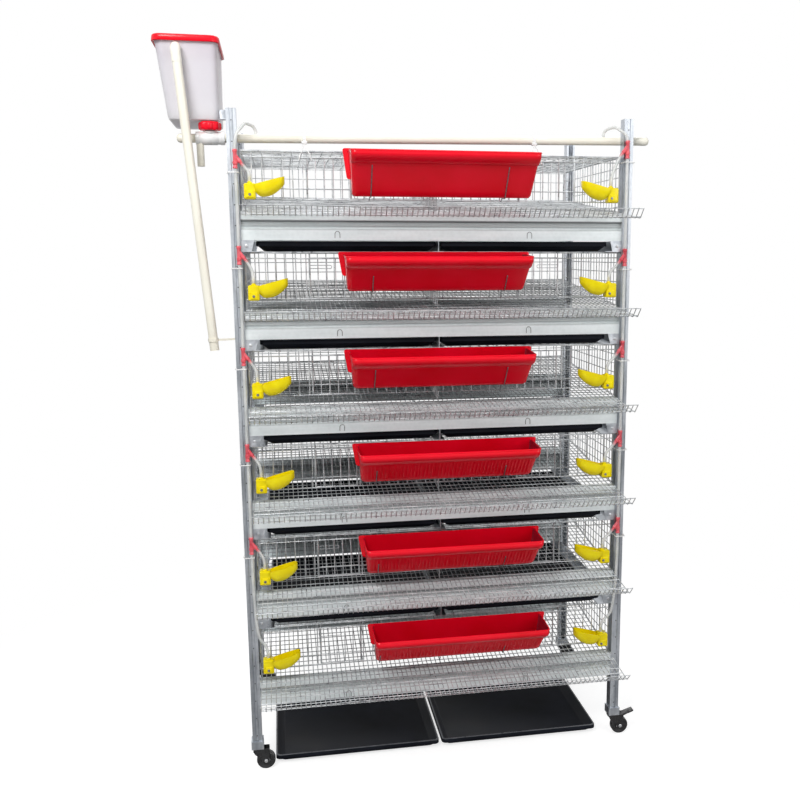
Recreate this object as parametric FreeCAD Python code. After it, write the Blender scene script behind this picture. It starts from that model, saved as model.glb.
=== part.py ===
import FreeCAD
import Part

import math
import os

V = FreeCAD.Vector

# A six-tier quail cage on casters. Millimetres. X runs to the right, Y to the back, Z up.
# The origin is on the floor, midway between the four casters, and the front looks along -Y.

# Posts: rolled channels, open towards the inside of the cage
post_spacing_x = 1010.0
post_spacing_y = 524.0
post_width = 25.0
post_depth = 30.0
post_wall = 1.5
post_lip = 6.0
post_groove_width = 6.0
post_groove_depth = 2.5
post_groove_slant = 1.5
post_bottom = 64.0
post_top = 1728.0

# Socket that carries a post on its caster
socket_wall = 3.5
socket_floor = 2.0
socket_height = 23.0
socket_clearance = 0.2

# Tiers
tier_count = 6
tier_pitch = 246.0
lowest_beam = 185.0

# Beams: pressed channels between the posts
beam_height = 70.0
beam_wall = 1.5
beam_face = 12.0
beam_bottom_return = 18.0
beam_top_return = 26.0
beam_back_lip = 15.0
groove_bottom = 27.0
groove_top = 48.0
groove_depth = 5.0
groove_slant = 3.0
groove_rib = 3.0
groove_rib_width = 3.0

# Welded nets
net_wire = 2.0
net_half_width = 488.0
net_gap = 0.2
panel_plane = 1.0
panel_foot = 99.0
panel_middle = 126.0
panel_head = 201.0
net_top = 215.2
bar_pitch = 25.0
floor_slope = 0.11
rollout_reach = 162.0
lip_rise = 22.0
lip_reach = 25.0
floor_columns = 30
floor_rows = 8
top_columns = 24
top_rows = 7
back_columns = 24
back_rows = 3
side_columns = 10
side_row_height = 30.0
partition_x = -2.0

# Doors: one in each cell, hung inside the front panel on its top wire
door_centres_x = (-274.0, 268.0)
door_width = 112.0
door_foot = 100.0
door_head = 203.0
door_lap = 4.0
door_gap = 0.6
door_columns = 5
latch_length = 54.0
latch_heights = (175.0, 183.0)

# Dung trays and the rails that they slide on
tray_width = 454.0
tray_depth = 506.0
tray_height = 25.0
tray_wall = 2.0
tray_floor = 2.0
tray_corner = 20.0
tray_rim_height = 12.0
tray_rim_width = 4.0
tray_gap = 8.0
tray_clearance = 0.3
tray_front_tier = -2.0
tray_front_floor = 9.0
rail_wall = 1.5
rail_height = 28.5
rail_ledge = 44.0
rail_gusset_top = 31.0
rail_gusset_foot = 24.0
runner_ledge = 14.0

# Feed troughs
trough_centres_x = (7.0, -10.0, -1.0, 14.0, 25.0, 44.0)
trough_rim_levels = (212.0, 206.0, 206.0, 206.0, 203.0, 200.0)
trough_rim_length = 468.0
trough_foot_length = 453.0
trough_opening = 112.0
trough_foot_width = 36.0
trough_heights = (110.0, 90.0, 90.0, 90.0, 90.0, 90.0)
trough_band_height = 24.0
trough_band_bulge = 7.0
trough_back_rise = 6.0
trough_wall = 2.0
trough_wing = 14.0
trough_wing_height = 60.0
trough_tilt = 3.0
trough_back_plane = 14.0

# Wire holders under each trough
hook_wire = 2.5
hook_ball_radius = 1.5
hook_places_x = (-175.0, 165.0)
hook_tip_rises = (74.0, 40.0, 54.0, 38.0, 38.0, 30.0)
hook_foot_run = 6.0
hook_clearance = 0.3
hook_bend = 2.6

# Drinker cups, seen from the post towards the middle of the tier
cup_left_x = 481.0
cup_right_x = 475.0
cup_foot = 98.0
cup_block_length = 28.0
cup_block_height = 42.0
cup_block_depth = 26.0
cup_length = 98.0
cup_depth = 41.0
cup_wall = 2.0
cup_plane = 1.5
cup_lip_low = 34.0
cup_lip_high = 54.0
cup_tip_foot = 38.0
cup_keel = 22.0
cup_barb_radius = 3.5
cup_barb_height = 13.0
cup_barb_place_left = 14.0
cup_barb_place_right = 20.0
cup_panel_gap = 0.3

# Water hoses and their tees
hose_radius = 4.0
hose_x = 499.0
hose_plane = 25.0
tee_radius = 6.0
tee_height = 46.0
tee_branch_radius = 5.0
tee_branch_root = 32.0
tee_branch_tip = 5.0
tee_branch_reach = 20.0
tee_feet_left = (170.0, 186.0, 182.0, 182.0, 182.0)
tee_feet_right = (211.0, 180.0, 182.0, 182.0, 182.0)
branch_lead = 6.0
barb_lead = 10.0
last_barb_lead = 20.0
last_drop_end = 46.0
tap_rise = 16.0
arch_side = 24.0
arch_rise = 24.0
shoulder_side = 20.0
shoulder_front = 8.0
shoulder_rise = 14.0
drop_start = 10.0
tee_lead = 12.0
tie_clearance = 0.3
tie_wall = 1.0
tie_width = 3.0
tie_drop = 10.0

# Supply pipe, its outlet tee and its two hangers
pipe_radius = 11.0
pipe_wall = 2.0
pipe_post_gap = 0.3
pipe_left = -637.0
pipe_right = 575.0
pipe_height = 1668.0
pipe_rise = 0.0145
outlet_x = -557.0
outlet_sleeve_radius = 16.0
outlet_sleeve_left = -592.0
outlet_sleeve_right = -522.0
outlet_neck_radius = 13.0
stub_x = -582.0
stub_radius = 9.0
stub_bore = 7.0
stub_foot = 1593.0
stub_bore_length = 46.0
fitting_clearance = 0.3
hanger_places_x = (-331.0, 258.0)
hanger_width = 6.0
hanger_wall = 1.8
hanger_spread = 15.0
hanger_wire = 1.2
hanger_foot = 1611.0
hanger_knee_share = 0.6
hanger_knee_rise = 30.0
hanger_shoulder_drop = 2.0
hose_tap_x = 448.0

# Tank, lid, outlet nut and bracket
tank_top_left = -675.0
tank_top_right = -531.0
tank_foot_left = -653.0
tank_foot_right = -533.0
tank_front = -10.0
tank_back = 220.0
tank_draft_y = 14.0
tank_foot = 1700.0
tank_rim = 1880.0
tank_wall = 2.5
spigot_foot = 1677.0
spigot_bore = 10.0
nut_radius = 28.0
nut_height = 20.0
nut_clearance = 0.08
nut_lobes = 12
nut_notch = 2.0
lid_overlap = 3.0
lid_height = 16.0
lid_overhang = 7.0
lid_clearance = 0.6
lid_seat_gap = 0.3
lid_top_wall = 2.5
lid_seat_width = 4.0
bracket_width = 20.0
bracket_foot = 1702.0
bracket_head = 1726.0
bracket_clearance = 0.3

# Riser that fills the tank from the floor side
riser_top_x = -625.0
riser_foot_x = -567.0
riser_plane = 30.0
riser_foot = 1146.0
riser_bend_height = 1862.0
riser_spout_depth = 150.0
riser_bend = 16.0
riser_strap_height = 1172.0
riser_strap_width = 8.0
riser_strap_wall = 1.5
riser_strap_bar = 5.0

# Fasteners
screw_radius = 4.0
screw_head = 2.5
screw_inset = 12.0
screw_drop = 14.0
loop_places_x = (-257.0, 240.0)
loop_width = 14.0
loop_height = 18.0
loop_wire = 2.0
loop_foot = 5.0

# Casters
wheel_radius = 25.0
wheel_width = 20.0
wheel_offset = 21.0
wheel_recess_inner = 11.0
wheel_recess_outer = 18.0
wheel_recess_depth = 2.0
axle_radius = 3.0
axle_head_radius = 5.0
axle_head = 2.0
bore_clearance = 0.05
cheek_gap = 1.5
cheek_wall = 2.0
cheek_waist_half = 9.0
cheek_toe_half = 6.0
cheek_toe_drop = 8.0
cheek_nose_drop = 2.0
crown_foot = 52.0
crown_head = 60.0
crown_back = 12.0
crown_front = 16.0
bearing_radius = 15.0
caster_seat_gap = 0.3
stem_radius = 5.0
stem_clearance = 0.3
stem_height = 30.0
cheek_nose = 31.0
pedal_pivot_out = 27.0
pedal_pivot_height = 55.5
pedal_pin_radius = 2.0
pedal_barrel_radius = 4.0
pedal_side_gap = 0.8
pedal_length = 35.0
pedal_rise = 11.0
pedal_wall = 3.5

# Places that follow from the values above
front_y = -post_spacing_y / 2
post_x = post_spacing_x / 2
post_inner_x = post_x - post_width / 2
post_outer_x = post_x + post_width / 2
beam_face_y = front_y - beam_face
panel_front_y = front_y + panel_plane
panel_back_y = panel_front_y + net_wire
floor_angle = math.atan(floor_slope)
slope_cos = math.cos(floor_angle)
slope_sin = math.sin(floor_angle)
pipe_y = front_y + post_depth / 2 + pipe_post_gap + pipe_radius
hose_y = front_y - hose_plane
fork_top = post_bottom - socket_floor - caster_seat_gap


def tier_z(tier):
    """Height of the beams' lower edge in a tier; tier 1 is the top one."""
    return lowest_beam + (tier_count - tier) * tier_pitch


def prism_x(outline, start, end):
    """Solid with a YZ outline, pushed along X."""
    points = [V(start, y, z) for y, z in outline]
    face = Part.Face(Part.makePolygon(points + points[:1]))
    return face.extrude(V(end - start, 0, 0))


def prism_y(outline, start, end):
    """Solid with an XZ outline, pushed along Y."""
    points = [V(x, start, z) for x, z in outline]
    face = Part.Face(Part.makePolygon(points + points[:1]))
    return face.extrude(V(0, end - start, 0))


def prism_z(outline, start, end):
    """Solid with an XY outline, pushed along Z."""
    points = [V(x, y, start) for x, y in outline]
    face = Part.Face(Part.makePolygon(points + points[:1]))
    return face.extrude(V(0, 0, end - start))


def block(low, high):
    """Box between two corners."""
    return Part.makeBox(high[0] - low[0], high[1] - low[1], high[2] - low[2], V(*low))


def bent_sheet(line, wall):
    """Closed outline of a folded sheet: its line and a copy one wall to the left, mitred at the folds."""
    copy = []
    last = len(line) - 1
    for place, (u, v) in enumerate(line):
        normals = []
        for start, end in ((max(place - 1, 0), place), (place, min(place + 1, last))):
            du = line[end][0] - line[start][0]
            dv = line[end][1] - line[start][1]
            length = math.hypot(du, dv)
            if length > 0:
                normals.append((-dv / length, du / length))
        mu = sum(n[0] for n in normals)
        mv = sum(n[1] for n in normals)
        reach = wall / (mu * normals[0][0] + mv * normals[0][1])
        copy.append((u + mu * reach, v + mv * reach))
    return list(line) + copy[::-1]


def evenly(start, end, count):
    """Places of count gaps' wires between two ends."""
    return [start + (end - start) * step / count for step in range(count + 1)]


def wires(start, end, gaps):
    """Middles of a net's wires, where start and end are its outer edges."""
    return evenly(start + net_wire / 2, end - net_wire / 2, gaps)


def net(us, vs, place, push, foot=None):
    """One flat net: a face with a gap between each two wires, pushed to the wire's thickness.

    us and vs are the middles of the wires, place(u, v) gives a point, and foot(u) is the height of a
    slanted lower edge, where the net has one.
    """
    half = net_wire / 2
    low = vs[0] - half
    if foot is None:
        def foot(u):
            return low
    ends = (us[0] - half, us[-1] + half)
    top = vs[-1] + half
    outline = [(ends[0], foot(ends[0])), (ends[1], foot(ends[1])), (ends[1], top), (ends[0], top)]
    rings = [outline]
    for left, right in zip(us, us[1:]):
        u0 = left + half
        u1 = right - half
        for lower, upper in zip(vs, vs[1:]):
            v1 = upper - half
            v0 = max(lower + half, foot(u0) + net_wire)
            w0 = max(lower + half, foot(u1) + net_wire)
            if max(v0, w0) < v1 - net_wire:
                rings.append([(u0, v0), (u1, w0), (u1, v1), (u0, v1)])
    polygons = []
    for ring in rings:
        points = [place(u, v) for u, v in ring]
        if ring is not outline:
            points.reverse()
        polygons.append(Part.makePolygon(points + points[:1]))
    return Part.Face(polygons).extrude(push)


def frustum(low, low_z, high, high_z):
    """Solid between two level rectangles, each (x0, y0, x1, y1)."""
    def ring(rectangle, z):
        x0, y0, x1, y1 = rectangle
        return [V(x0, y0, z), V(x1, y0, z), V(x1, y1, z), V(x0, y1, z)]
    foot = ring(low, low_z)
    head = ring(high, high_z)
    loops = [foot, head]
    for side in range(4):
        after = (side + 1) % 4
        loops.append([foot[side], foot[after], head[after], head[side]])
    faces = [Part.Face(Part.makePolygon(loop + loop[:1])) for loop in loops]
    return Part.makeSolid(Part.makeShell(faces))


def route(points, bend=None):
    """Wire of straight runs joined by tangent arcs, and the arcs' radii.

    Without a bend, each radius is 0.45 of the shorter run over the tangent of half the turn.
    """
    points = [V(*p) for p in points]
    edges = []
    radii = []
    start = points[0]
    for before, corner, after in zip(points, points[1:], points[2:]):
        run_in = (corner - before)
        run_out = (after - corner)
        half_turn = run_in.getAngle(run_out) / 2
        radius = bend
        if radius is None:
            radius = 0.45 * min(run_in.Length, run_out.Length) / math.tan(half_turn)
        radii.append(radius)
        setback = radius * math.tan(half_turn)
        into = corner - run_in.normalize() * setback
        out_of = corner + run_out.normalize() * setback
        bisector = (into + out_of) * 0.5 - corner
        centre = corner + bisector.normalize() * (radius / math.cos(half_turn))
        middle = centre - (centre - corner).normalize() * radius
        edges.append(Part.LineSegment(start, into).toShape())
        edges.append(Part.Arc(into, middle, out_of).toShape())
        start = out_of
    edges.append(Part.LineSegment(start, points[-1]).toShape())
    return Part.Wire(edges), radii


def tube(points, radius, bend=None):
    """Round rod along a route."""
    path, radii = route(points, bend)
    first = V(*points[1]) - V(*points[0])
    section = Part.Face(Part.Wire(Part.makeCircle(radius, V(*points[0]), first)))
    if len(points) == 2:
        return section.extrude(first), radii, path.Length
    return path.makePipe(section), radii, path.Length


def rod(start, end, radius):
    """Round rod between two points."""
    along = V(*end) - V(*start)
    return Part.makeCylinder(radius, along.Length, V(*start), along)


def mirrored(shape, normal):
    """Copy on the other side of the middle plane with that normal."""
    return shape.mirror(V(0, 0, 0), normal)


def one(shape):
    """The single solid of a joined shape, with its split faces merged."""
    return shape.removeSplitter().Solids[0]


def post(x, y, turned):
    """One rolled post: a channel with inward lips and a groove down the middle of its outer face."""
    w = post_width / 2
    d = post_depth / 2
    g = post_groove_width / 2
    line = [(-w + post_lip, d), (-w, d), (-w, -d), (-g - post_groove_slant, -d),
            (-g, -d + post_groove_depth), (g, -d + post_groove_depth),
            (g + post_groove_slant, -d), (w, -d), (w, d), (w - post_lip, d)]
    shape = prism_z(bent_sheet(line, post_wall), post_bottom, post_top)
    if turned:
        shape.rotate(V(0, 0, 0), V(0, 0, 1), 180)
    shape.translate(V(x, y, 0))
    return shape


def socket(x, y):
    """Socket round a post's foot, with a floor that takes the caster's stem."""
    w = post_width / 2 + socket_clearance
    d = post_depth / 2 + socket_clearance
    foot = post_bottom - socket_floor
    outer = block((x - w - socket_wall, y - d - socket_wall, foot),
                  (x + w + socket_wall, y + d + socket_wall, foot + socket_height))
    inner = block((x - w, y - d, post_bottom), (x + w, y + d, foot + socket_height))
    hole = Part.makeCylinder(stem_radius + stem_clearance, socket_floor, V(x, y, foot))
    return one(outer.cut(inner).cut(hole))


def front_beam(tier):
    """Pressed beam with a ribbed groove in its face, closed by a plate at each post."""
    z = tier_z(tier)
    f = -beam_face
    middle = (groove_bottom + groove_top) / 2
    rib = groove_rib_width / 2
    floor = f + groove_depth
    line = [(f + beam_bottom_return, 0), (f, 0), (f, groove_bottom),
            (floor, groove_bottom + groove_slant), (floor, middle - rib - groove_slant),
            (floor - groove_rib, middle - rib), (floor - groove_rib, middle + rib),
            (floor, middle + rib + groove_slant), (floor, groove_top - groove_slant),
            (f, groove_top), (f, beam_height), (f + beam_top_return, beam_height),
            (f + beam_top_return, beam_height - beam_back_lip)]
    outline = [(front_y + y, z + height) for y, height in bent_sheet(line, -beam_wall)]
    beam = prism_x(outline, -post_inner_x, post_inner_x)
    ends = []
    for side in (-1, 1):
        x = side * post_inner_x
        ends.append(block((min(x, x - side * beam_wall), beam_face_y, z),
                          (max(x, x - side * beam_wall), beam_face_y + beam_top_return,
                           z + beam_height)))
    return one(beam.fuse(ends))


def tray_rails(tier):
    """Two side rails with gussets and a middle runner, hung under the beams of a tier."""
    z = tier_z(tier)
    back_face_y = -beam_face_y
    solids = []
    line = [(-post_inner_x, z), (-post_inner_x, z - rail_height),
            (-post_inner_x + rail_ledge, z - rail_height)]
    rail = prism_y(bent_sheet(line, rail_wall), beam_face_y, back_face_y)
    gusset = [(-post_inner_x, z), (-post_inner_x + rail_gusset_top, z),
              (-post_inner_x + rail_gusset_foot, z - rail_height),
              (-post_inner_x, z - rail_height)]
    plates = [prism_y(gusset, beam_face_y, beam_face_y + rail_wall),
              prism_y(gusset, back_face_y - rail_wall, back_face_y)]
    left = one(rail.fuse(plates))
    solids.append(left)
    solids.append(mirrored(left, V(1, 0, 0)))
    half = rail_wall / 2
    runner = [(-half, z), (-half, z - rail_height + rail_wall),
              (-runner_ledge, z - rail_height + rail_wall), (-runner_ledge, z - rail_height),
              (runner_ledge, z - rail_height), (runner_ledge, z - rail_height + rail_wall),
              (half, z - rail_height + rail_wall), (half, z)]
    solids.append(prism_y(runner, beam_face_y, back_face_y))
    return solids


def floor_height(tier, y):
    """Height of the sloping floor net's upper face above a place along Y."""
    edge = tier_z(tier) + beam_height + net_gap + floor_slope * (y - beam_face_y)
    return edge + net_wire / slope_cos


def cage_floor(tier):
    """Sloping floor net that runs out in front of the cage, and the lip that stops the eggs."""
    bend_y = front_y - rollout_reach
    back_y = -front_y - panel_plane - net_wire
    bend_z = floor_height(tier, bend_y) - net_wire / slope_cos
    length = (back_y - bend_y) / slope_cos - net_wire

    def on_floor(u, v):
        return V(u, bend_y + v * slope_cos, bend_z + v * slope_sin)

    rise = V(0, -slope_sin, slope_cos) * net_wire
    us = wires(-net_half_width, net_half_width, floor_columns)
    floor = net(us, wires(0, length, floor_rows), on_floor, rise)

    lip_length = math.hypot(lip_rise, lip_reach)
    out_y = -lip_reach / lip_length
    out_z = lip_rise / lip_length
    edge = V(0, bend_y, bend_z) + rise

    def on_lip(u, v):
        return V(u, edge.y + v * out_y, edge.z + v * out_z)

    gaps = round(2 * net_half_width / bar_pitch)
    us = wires(-net_half_width, net_half_width, gaps)
    lip = net(us, wires(0, lip_length, 1), on_lip, V(0, -out_z, out_y) * net_wire)
    return [floor, lip]


def cage_front(tier):
    """Barred front of one tier: flat nets round the two doorways, and the long wire at their foot."""
    z = tier_z(tier)
    edges = [-net_half_width]
    for centre in door_centres_x:
        edges.append(centre - door_width / 2 + door_lap)
        edges.append(centre + door_width / 2 - door_lap)
    edges.append(net_half_width)

    def on_front(u, v):
        return V(u, panel_front_y, z + v)

    push = V(0, net_wire, 0)
    gaps = round(2 * net_half_width / bar_pitch)
    us = wires(-net_half_width, net_half_width, gaps)
    solids = [net(us, wires(panel_head, net_top, 1), on_front, push)]
    for left, right in zip(edges[0::2], edges[1::2]):
        gaps = round((right - left) / bar_pitch)
        vs = wires(panel_foot + net_wire, panel_head, 1)
        vs.insert(1, panel_middle)
        solids.append(net(wires(left, right, gaps), vs, on_front, push))
    solids.append(block((-net_half_width, panel_front_y, z + panel_foot),
                        (net_half_width, panel_back_y, z + panel_foot + net_wire)))
    return solids


def cage_walls(tier):
    """Back net on the rear beam, and the two side nets on the floor net."""
    z = tier_z(tier)
    back_y = -panel_back_y

    def on_back(u, v):
        return V(u, back_y, z + v)

    us = wires(-net_half_width, net_half_width, back_columns)
    back = net(us, wires(beam_height, net_top, back_rows), on_back, V(0, net_wire, 0))
    solids = [back]
    for side in (-1, 1):
        x = side * net_half_width
        solids.append(upright_net(tier, min(x, x - side * net_wire)))
    return solids


def upright_net(tier, x):
    """Net from front to back that stands on the sloping floor."""
    z = tier_z(tier)

    def foot(y):
        return floor_height(tier, y) + net_gap

    def on_side(u, v):
        return V(x, u, v)

    rows = [z + net_top - net_wire / 2]
    while rows[-1] - side_row_height > foot(panel_back_y):
        rows.append(rows[-1] - side_row_height)
    rows.append(foot(panel_back_y) - net_wire)
    us = wires(panel_back_y, -panel_back_y, side_columns)
    return net(us, rows[::-1], on_side, V(net_wire, 0, 0), foot)


def cage_top(tier):
    """Level net that closes one tier above."""
    z = tier_z(tier) + net_top

    def on_top(u, v):
        return V(u, v, z)

    us = wires(-net_half_width, net_half_width, top_columns)
    vs = wires(panel_front_y, -panel_front_y, top_rows)
    return net(us, vs, on_top, V(0, 0, net_wire))


def door(tier, centre):
    """Small barred door with the two wires of its latch on its inner face."""
    z = tier_z(tier)
    y = panel_back_y + door_gap

    def on_door(u, v):
        return V(u, y, z + v)

    us = wires(centre - door_width / 2, centre + door_width / 2, door_columns)
    vs = wires(door_foot, door_head, 1)
    vs.insert(1, panel_middle)
    leaf = net(us, vs, on_door, V(0, net_wire, 0))
    latch_side = -1 if centre < 0 else 1
    outer = centre + latch_side * door_width / 2
    inner = outer - latch_side * latch_length
    bars = []
    for height in latch_heights:
        bars.append(block((min(outer, inner), y + net_wire, z + height),
                          (max(outer, inner), y + 2 * net_wire, z + height + net_wire)))
    return one(leaf.fuse(bars))


def rounded_slab(low, high, corner):
    """Upright box with round corners in plan."""
    slab = block(low, high)
    upright = [e for e in slab.Edges if abs(e.tangentAt(e.FirstParameter).z) > 0.9]
    return slab.makeFillet(corner, upright)


def dung_tray(left, front, foot):
    """Shallow tray with a band round its rim."""
    right = left + tray_width
    back = front + tray_depth
    head = foot + tray_height
    r = tray_rim_width
    w = r + tray_wall
    body = rounded_slab((left + r, front + r, foot), (right - r, back - r, head), tray_corner - r)
    rim = rounded_slab((left, front, head - tray_rim_height), (right, back, head), tray_corner)
    hollow = rounded_slab((left + w, front + w, foot + tray_floor), (right - w, back - w, head),
                          tray_corner - w)
    return one(body.fuse(rim).cut(hollow))


def trough_place(tier):
    """Turn and shift that take a trough from its own upright place to its tier."""
    height = trough_heights[tier - 1]
    tilt = math.radians(trough_tilt)
    rim = height * math.cos(tilt) - trough_opening * math.sin(tilt)
    z = tier_z(tier) + trough_rim_levels[tier - 1] - rim
    return V(trough_centres_x[tier - 1], front_y - trough_back_plane, z)


def feed_trough(tier):
    """Tapered feed trough with a bulged band under its rim and a winged back plate."""
    height = trough_heights[tier - 1]
    band_foot = height - trough_band_height
    share = band_foot / height
    t = trough_wall

    def level(depth, length, inset):
        """Rectangle at one height, drawn in by a wall."""
        return (-length / 2 + inset, -depth + inset, length / 2 - inset, -inset)

    shoulder = trough_opening - trough_band_bulge
    shoulder_depth = trough_foot_width + (shoulder - trough_foot_width) * share
    shoulder_length = trough_foot_length + (trough_rim_length - trough_foot_length) * share
    low = level(trough_foot_width, trough_foot_length, 0)
    middle = level(shoulder_depth, shoulder_length, 0)
    band_low = level(shoulder_depth + trough_band_bulge, shoulder_length + trough_band_bulge, 0)
    band_low = (band_low[0], band_low[1], band_low[2], middle[3])
    high = level(trough_opening, trough_rim_length, 0)
    outer = frustum(low, 0, middle, band_foot)
    outer = outer.fuse(frustum(band_low, band_foot, high, height))
    wing_x = trough_rim_length / 2 + trough_wing
    back_top = height + trough_back_rise
    outer = outer.fuse(block((-wing_x, -t, back_top - trough_wing_height), (wing_x, 0, back_top)))
    low_in = level(trough_foot_width, trough_foot_length, t)
    middle_in = level(shoulder_depth, shoulder_length, t)
    high_in = level(trough_opening, trough_rim_length, t)
    band_in = level(shoulder_depth + trough_band_bulge, shoulder_length + trough_band_bulge, t)
    floor_z = t
    lower = frustum(low_in, floor_z, middle_in, band_foot + t)
    upper = frustum(band_in, band_foot + t, high_in, height)
    shape = one(outer.cut(lower).cut(upper))
    shape.rotate(V(0, 0, 0), V(1, 0, 0), trough_tilt)
    shape.translate(trough_place(tier))
    return shape


def trough_hook(tier, x):
    """Wire from the foot of the front panel, under a trough and up its front wall to a ball tip."""
    place = trough_place(tier)
    tilt = math.radians(trough_tilt)
    height = trough_heights[tier - 1]
    off = hook_wire / 2 + hook_clearance
    shoulder = trough_opening - trough_band_bulge
    lean = (shoulder - trough_foot_width) / height
    wall_length = math.hypot(1, lean)
    side = (off * 1 / wall_length, -off * lean / wall_length)

    def tilted(depth, rise):
        y = place.y - depth * math.cos(tilt) - rise * math.sin(tilt)
        z = place.z + rise * math.cos(tilt) - depth * math.sin(tilt)
        return (x, y, z)

    corner = trough_foot_width + off * (wall_length - lean)
    rise = hook_tip_rises[tier - 1]
    tip_depth = trough_foot_width + lean * rise + side[0]
    root_y = panel_front_y - hook_clearance
    root_z = tier_z(tier) + panel_foot + net_wire / 2
    points = [(x, root_y, root_z),
              (x, root_y - hook_foot_run, root_z),
              tilted(0, -off),
              tilted(corner, -off),
              tilted(tip_depth, rise + side[1])]
    wire = tube(points, hook_wire / 2, hook_bend)[0]
    ball = Part.makeSphere(hook_ball_radius, V(*points[-1]))
    return one(wire.fuse(ball))


def drinker_cup(tier, side):
    """Cup on the front panel: a block with a hose barb, and a bowl that rises to a tip."""
    z = tier_z(tier) + cup_foot
    outer_x = cup_left_x if side < 0 else cup_right_x
    barb_u = cup_barb_place_left if side < 0 else cup_barb_place_right
    back_y = panel_front_y - cup_panel_gap

    def x_at(u):
        return side * (outer_x - u)

    def drawn(points, start, end):
        return prism_y([(x_at(u), z + v) for u, v in points], start, end)

    b = cup_block_length
    body = drawn([(0, 0), (b, 0), (b, cup_block_height), (0, cup_block_height)],
                 back_y - cup_block_depth, back_y)
    front = back_y - cup_plane - cup_depth
    back = back_y - cup_plane
    bowl = drawn([(b, 0), (b + cup_keel, 0), (cup_length, cup_tip_foot), (cup_length, cup_lip_high),
                  (b, cup_lip_low)], front, back)
    t = cup_wall
    slope = (cup_lip_high - cup_lip_low) / (cup_length - b)
    hollow = drawn([(b + t, t), (b + cup_keel - t / 2, t), (cup_length - t, cup_tip_foot),
                    (cup_length - t, cup_lip_high), (b + t, cup_lip_low + slope * t)],
                   front + t, back - t)
    barb = Part.makeCylinder(cup_barb_radius, cup_barb_height,
                             V(x_at(barb_u), hose_y, z + cup_block_height))
    return one(body.fuse([bowl, barb]).cut(hollow))


def tee_foot(tier, side):
    """Height of a tee's lower end, or None in the lowest tier, which has no tee."""
    feet = tee_feet_left if side < 0 else tee_feet_right
    if tier > len(feet):
        return None
    return tier_z(tier) + feet[tier - 1]


def barb_point(tier, side):
    """Top of a cup's hose barb."""
    outer_x = cup_left_x if side < 0 else cup_right_x
    barb_u = cup_barb_place_left if side < 0 else cup_barb_place_right
    z = tier_z(tier) + cup_foot + cup_block_height + cup_barb_height
    return (side * (outer_x - barb_u), hose_y, z)


def branch_end(tier, side):
    """Lower end of a tee's slanted branch."""
    return (side * (hose_x - tee_branch_reach), hose_y, tee_foot(tier, side) + tee_branch_tip)


def hose_tee(tier, side):
    """Tee in the hose down the post, with a branch slanting towards the cup."""
    foot = tee_foot(tier, side)
    x = side * hose_x
    body = Part.makeCylinder(tee_radius, tee_height, V(x, hose_y, foot))
    branch = rod((x, hose_y, foot + tee_branch_root), branch_end(tier, side), tee_branch_radius)
    return one(body.fuse(branch))


def hoses(side):
    """The route of every hose of one side."""
    x = side * hose_x
    start_z = pipe_height + pipe_rise * side * hose_tap_x + pipe_radius
    tap = side * hose_tap_x
    top = tee_foot(1, side) + tee_height
    routes = []
    routes.append([(tap, pipe_y, start_z + tie_clearance),
                   (tap, pipe_y, start_z + tap_rise),
                   (tap + side * arch_side, pipe_y - arch_side, start_z + arch_rise),
                   (x - side * shoulder_side, hose_y + shoulder_front, start_z + shoulder_rise),
                   (x, hose_y, max(start_z - drop_start, top + tee_lead)), (x, hose_y, top)])
    for tier in range(1, tier_count - 1):
        upper = tee_foot(tier, side)
        lower = tee_foot(tier + 1, side) + tee_height
        routes.append([(x, hose_y, upper), (x, hose_y, lower)])
    for tier in range(1, tier_count):
        start = V(*branch_end(tier, side))
        along = (start - V(x, hose_y, tee_foot(tier, side) + tee_branch_root)).normalize()
        barb = barb_point(tier, side)
        routes.append([tuple(start), tuple(start + along * branch_lead),
                       (barb[0], hose_y, barb[2] + barb_lead), barb])
    last = barb_point(tier_count, side)
    routes.append([(x, hose_y, tee_foot(tier_count - 1, side)),
                   (x, hose_y, last[2] + last_drop_end),
                   (last[0], hose_y, last[2] + last_barb_lead), last])
    return routes


def tie(x, z):
    """Band round a post and the hose in front of it."""
    w = post_width / 2 + tie_clearance
    front = hose_y - hose_radius - tie_clearance
    back = front_y + post_depth / 2 + tie_clearance
    t = tie_wall
    outer = block((x - w - t, front - t, z), (x + w + t, back + t, z + tie_width))
    inner = block((x - w, front, z), (x + w, back, z + tie_width))
    return outer.cut(inner).Solids[0]


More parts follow.
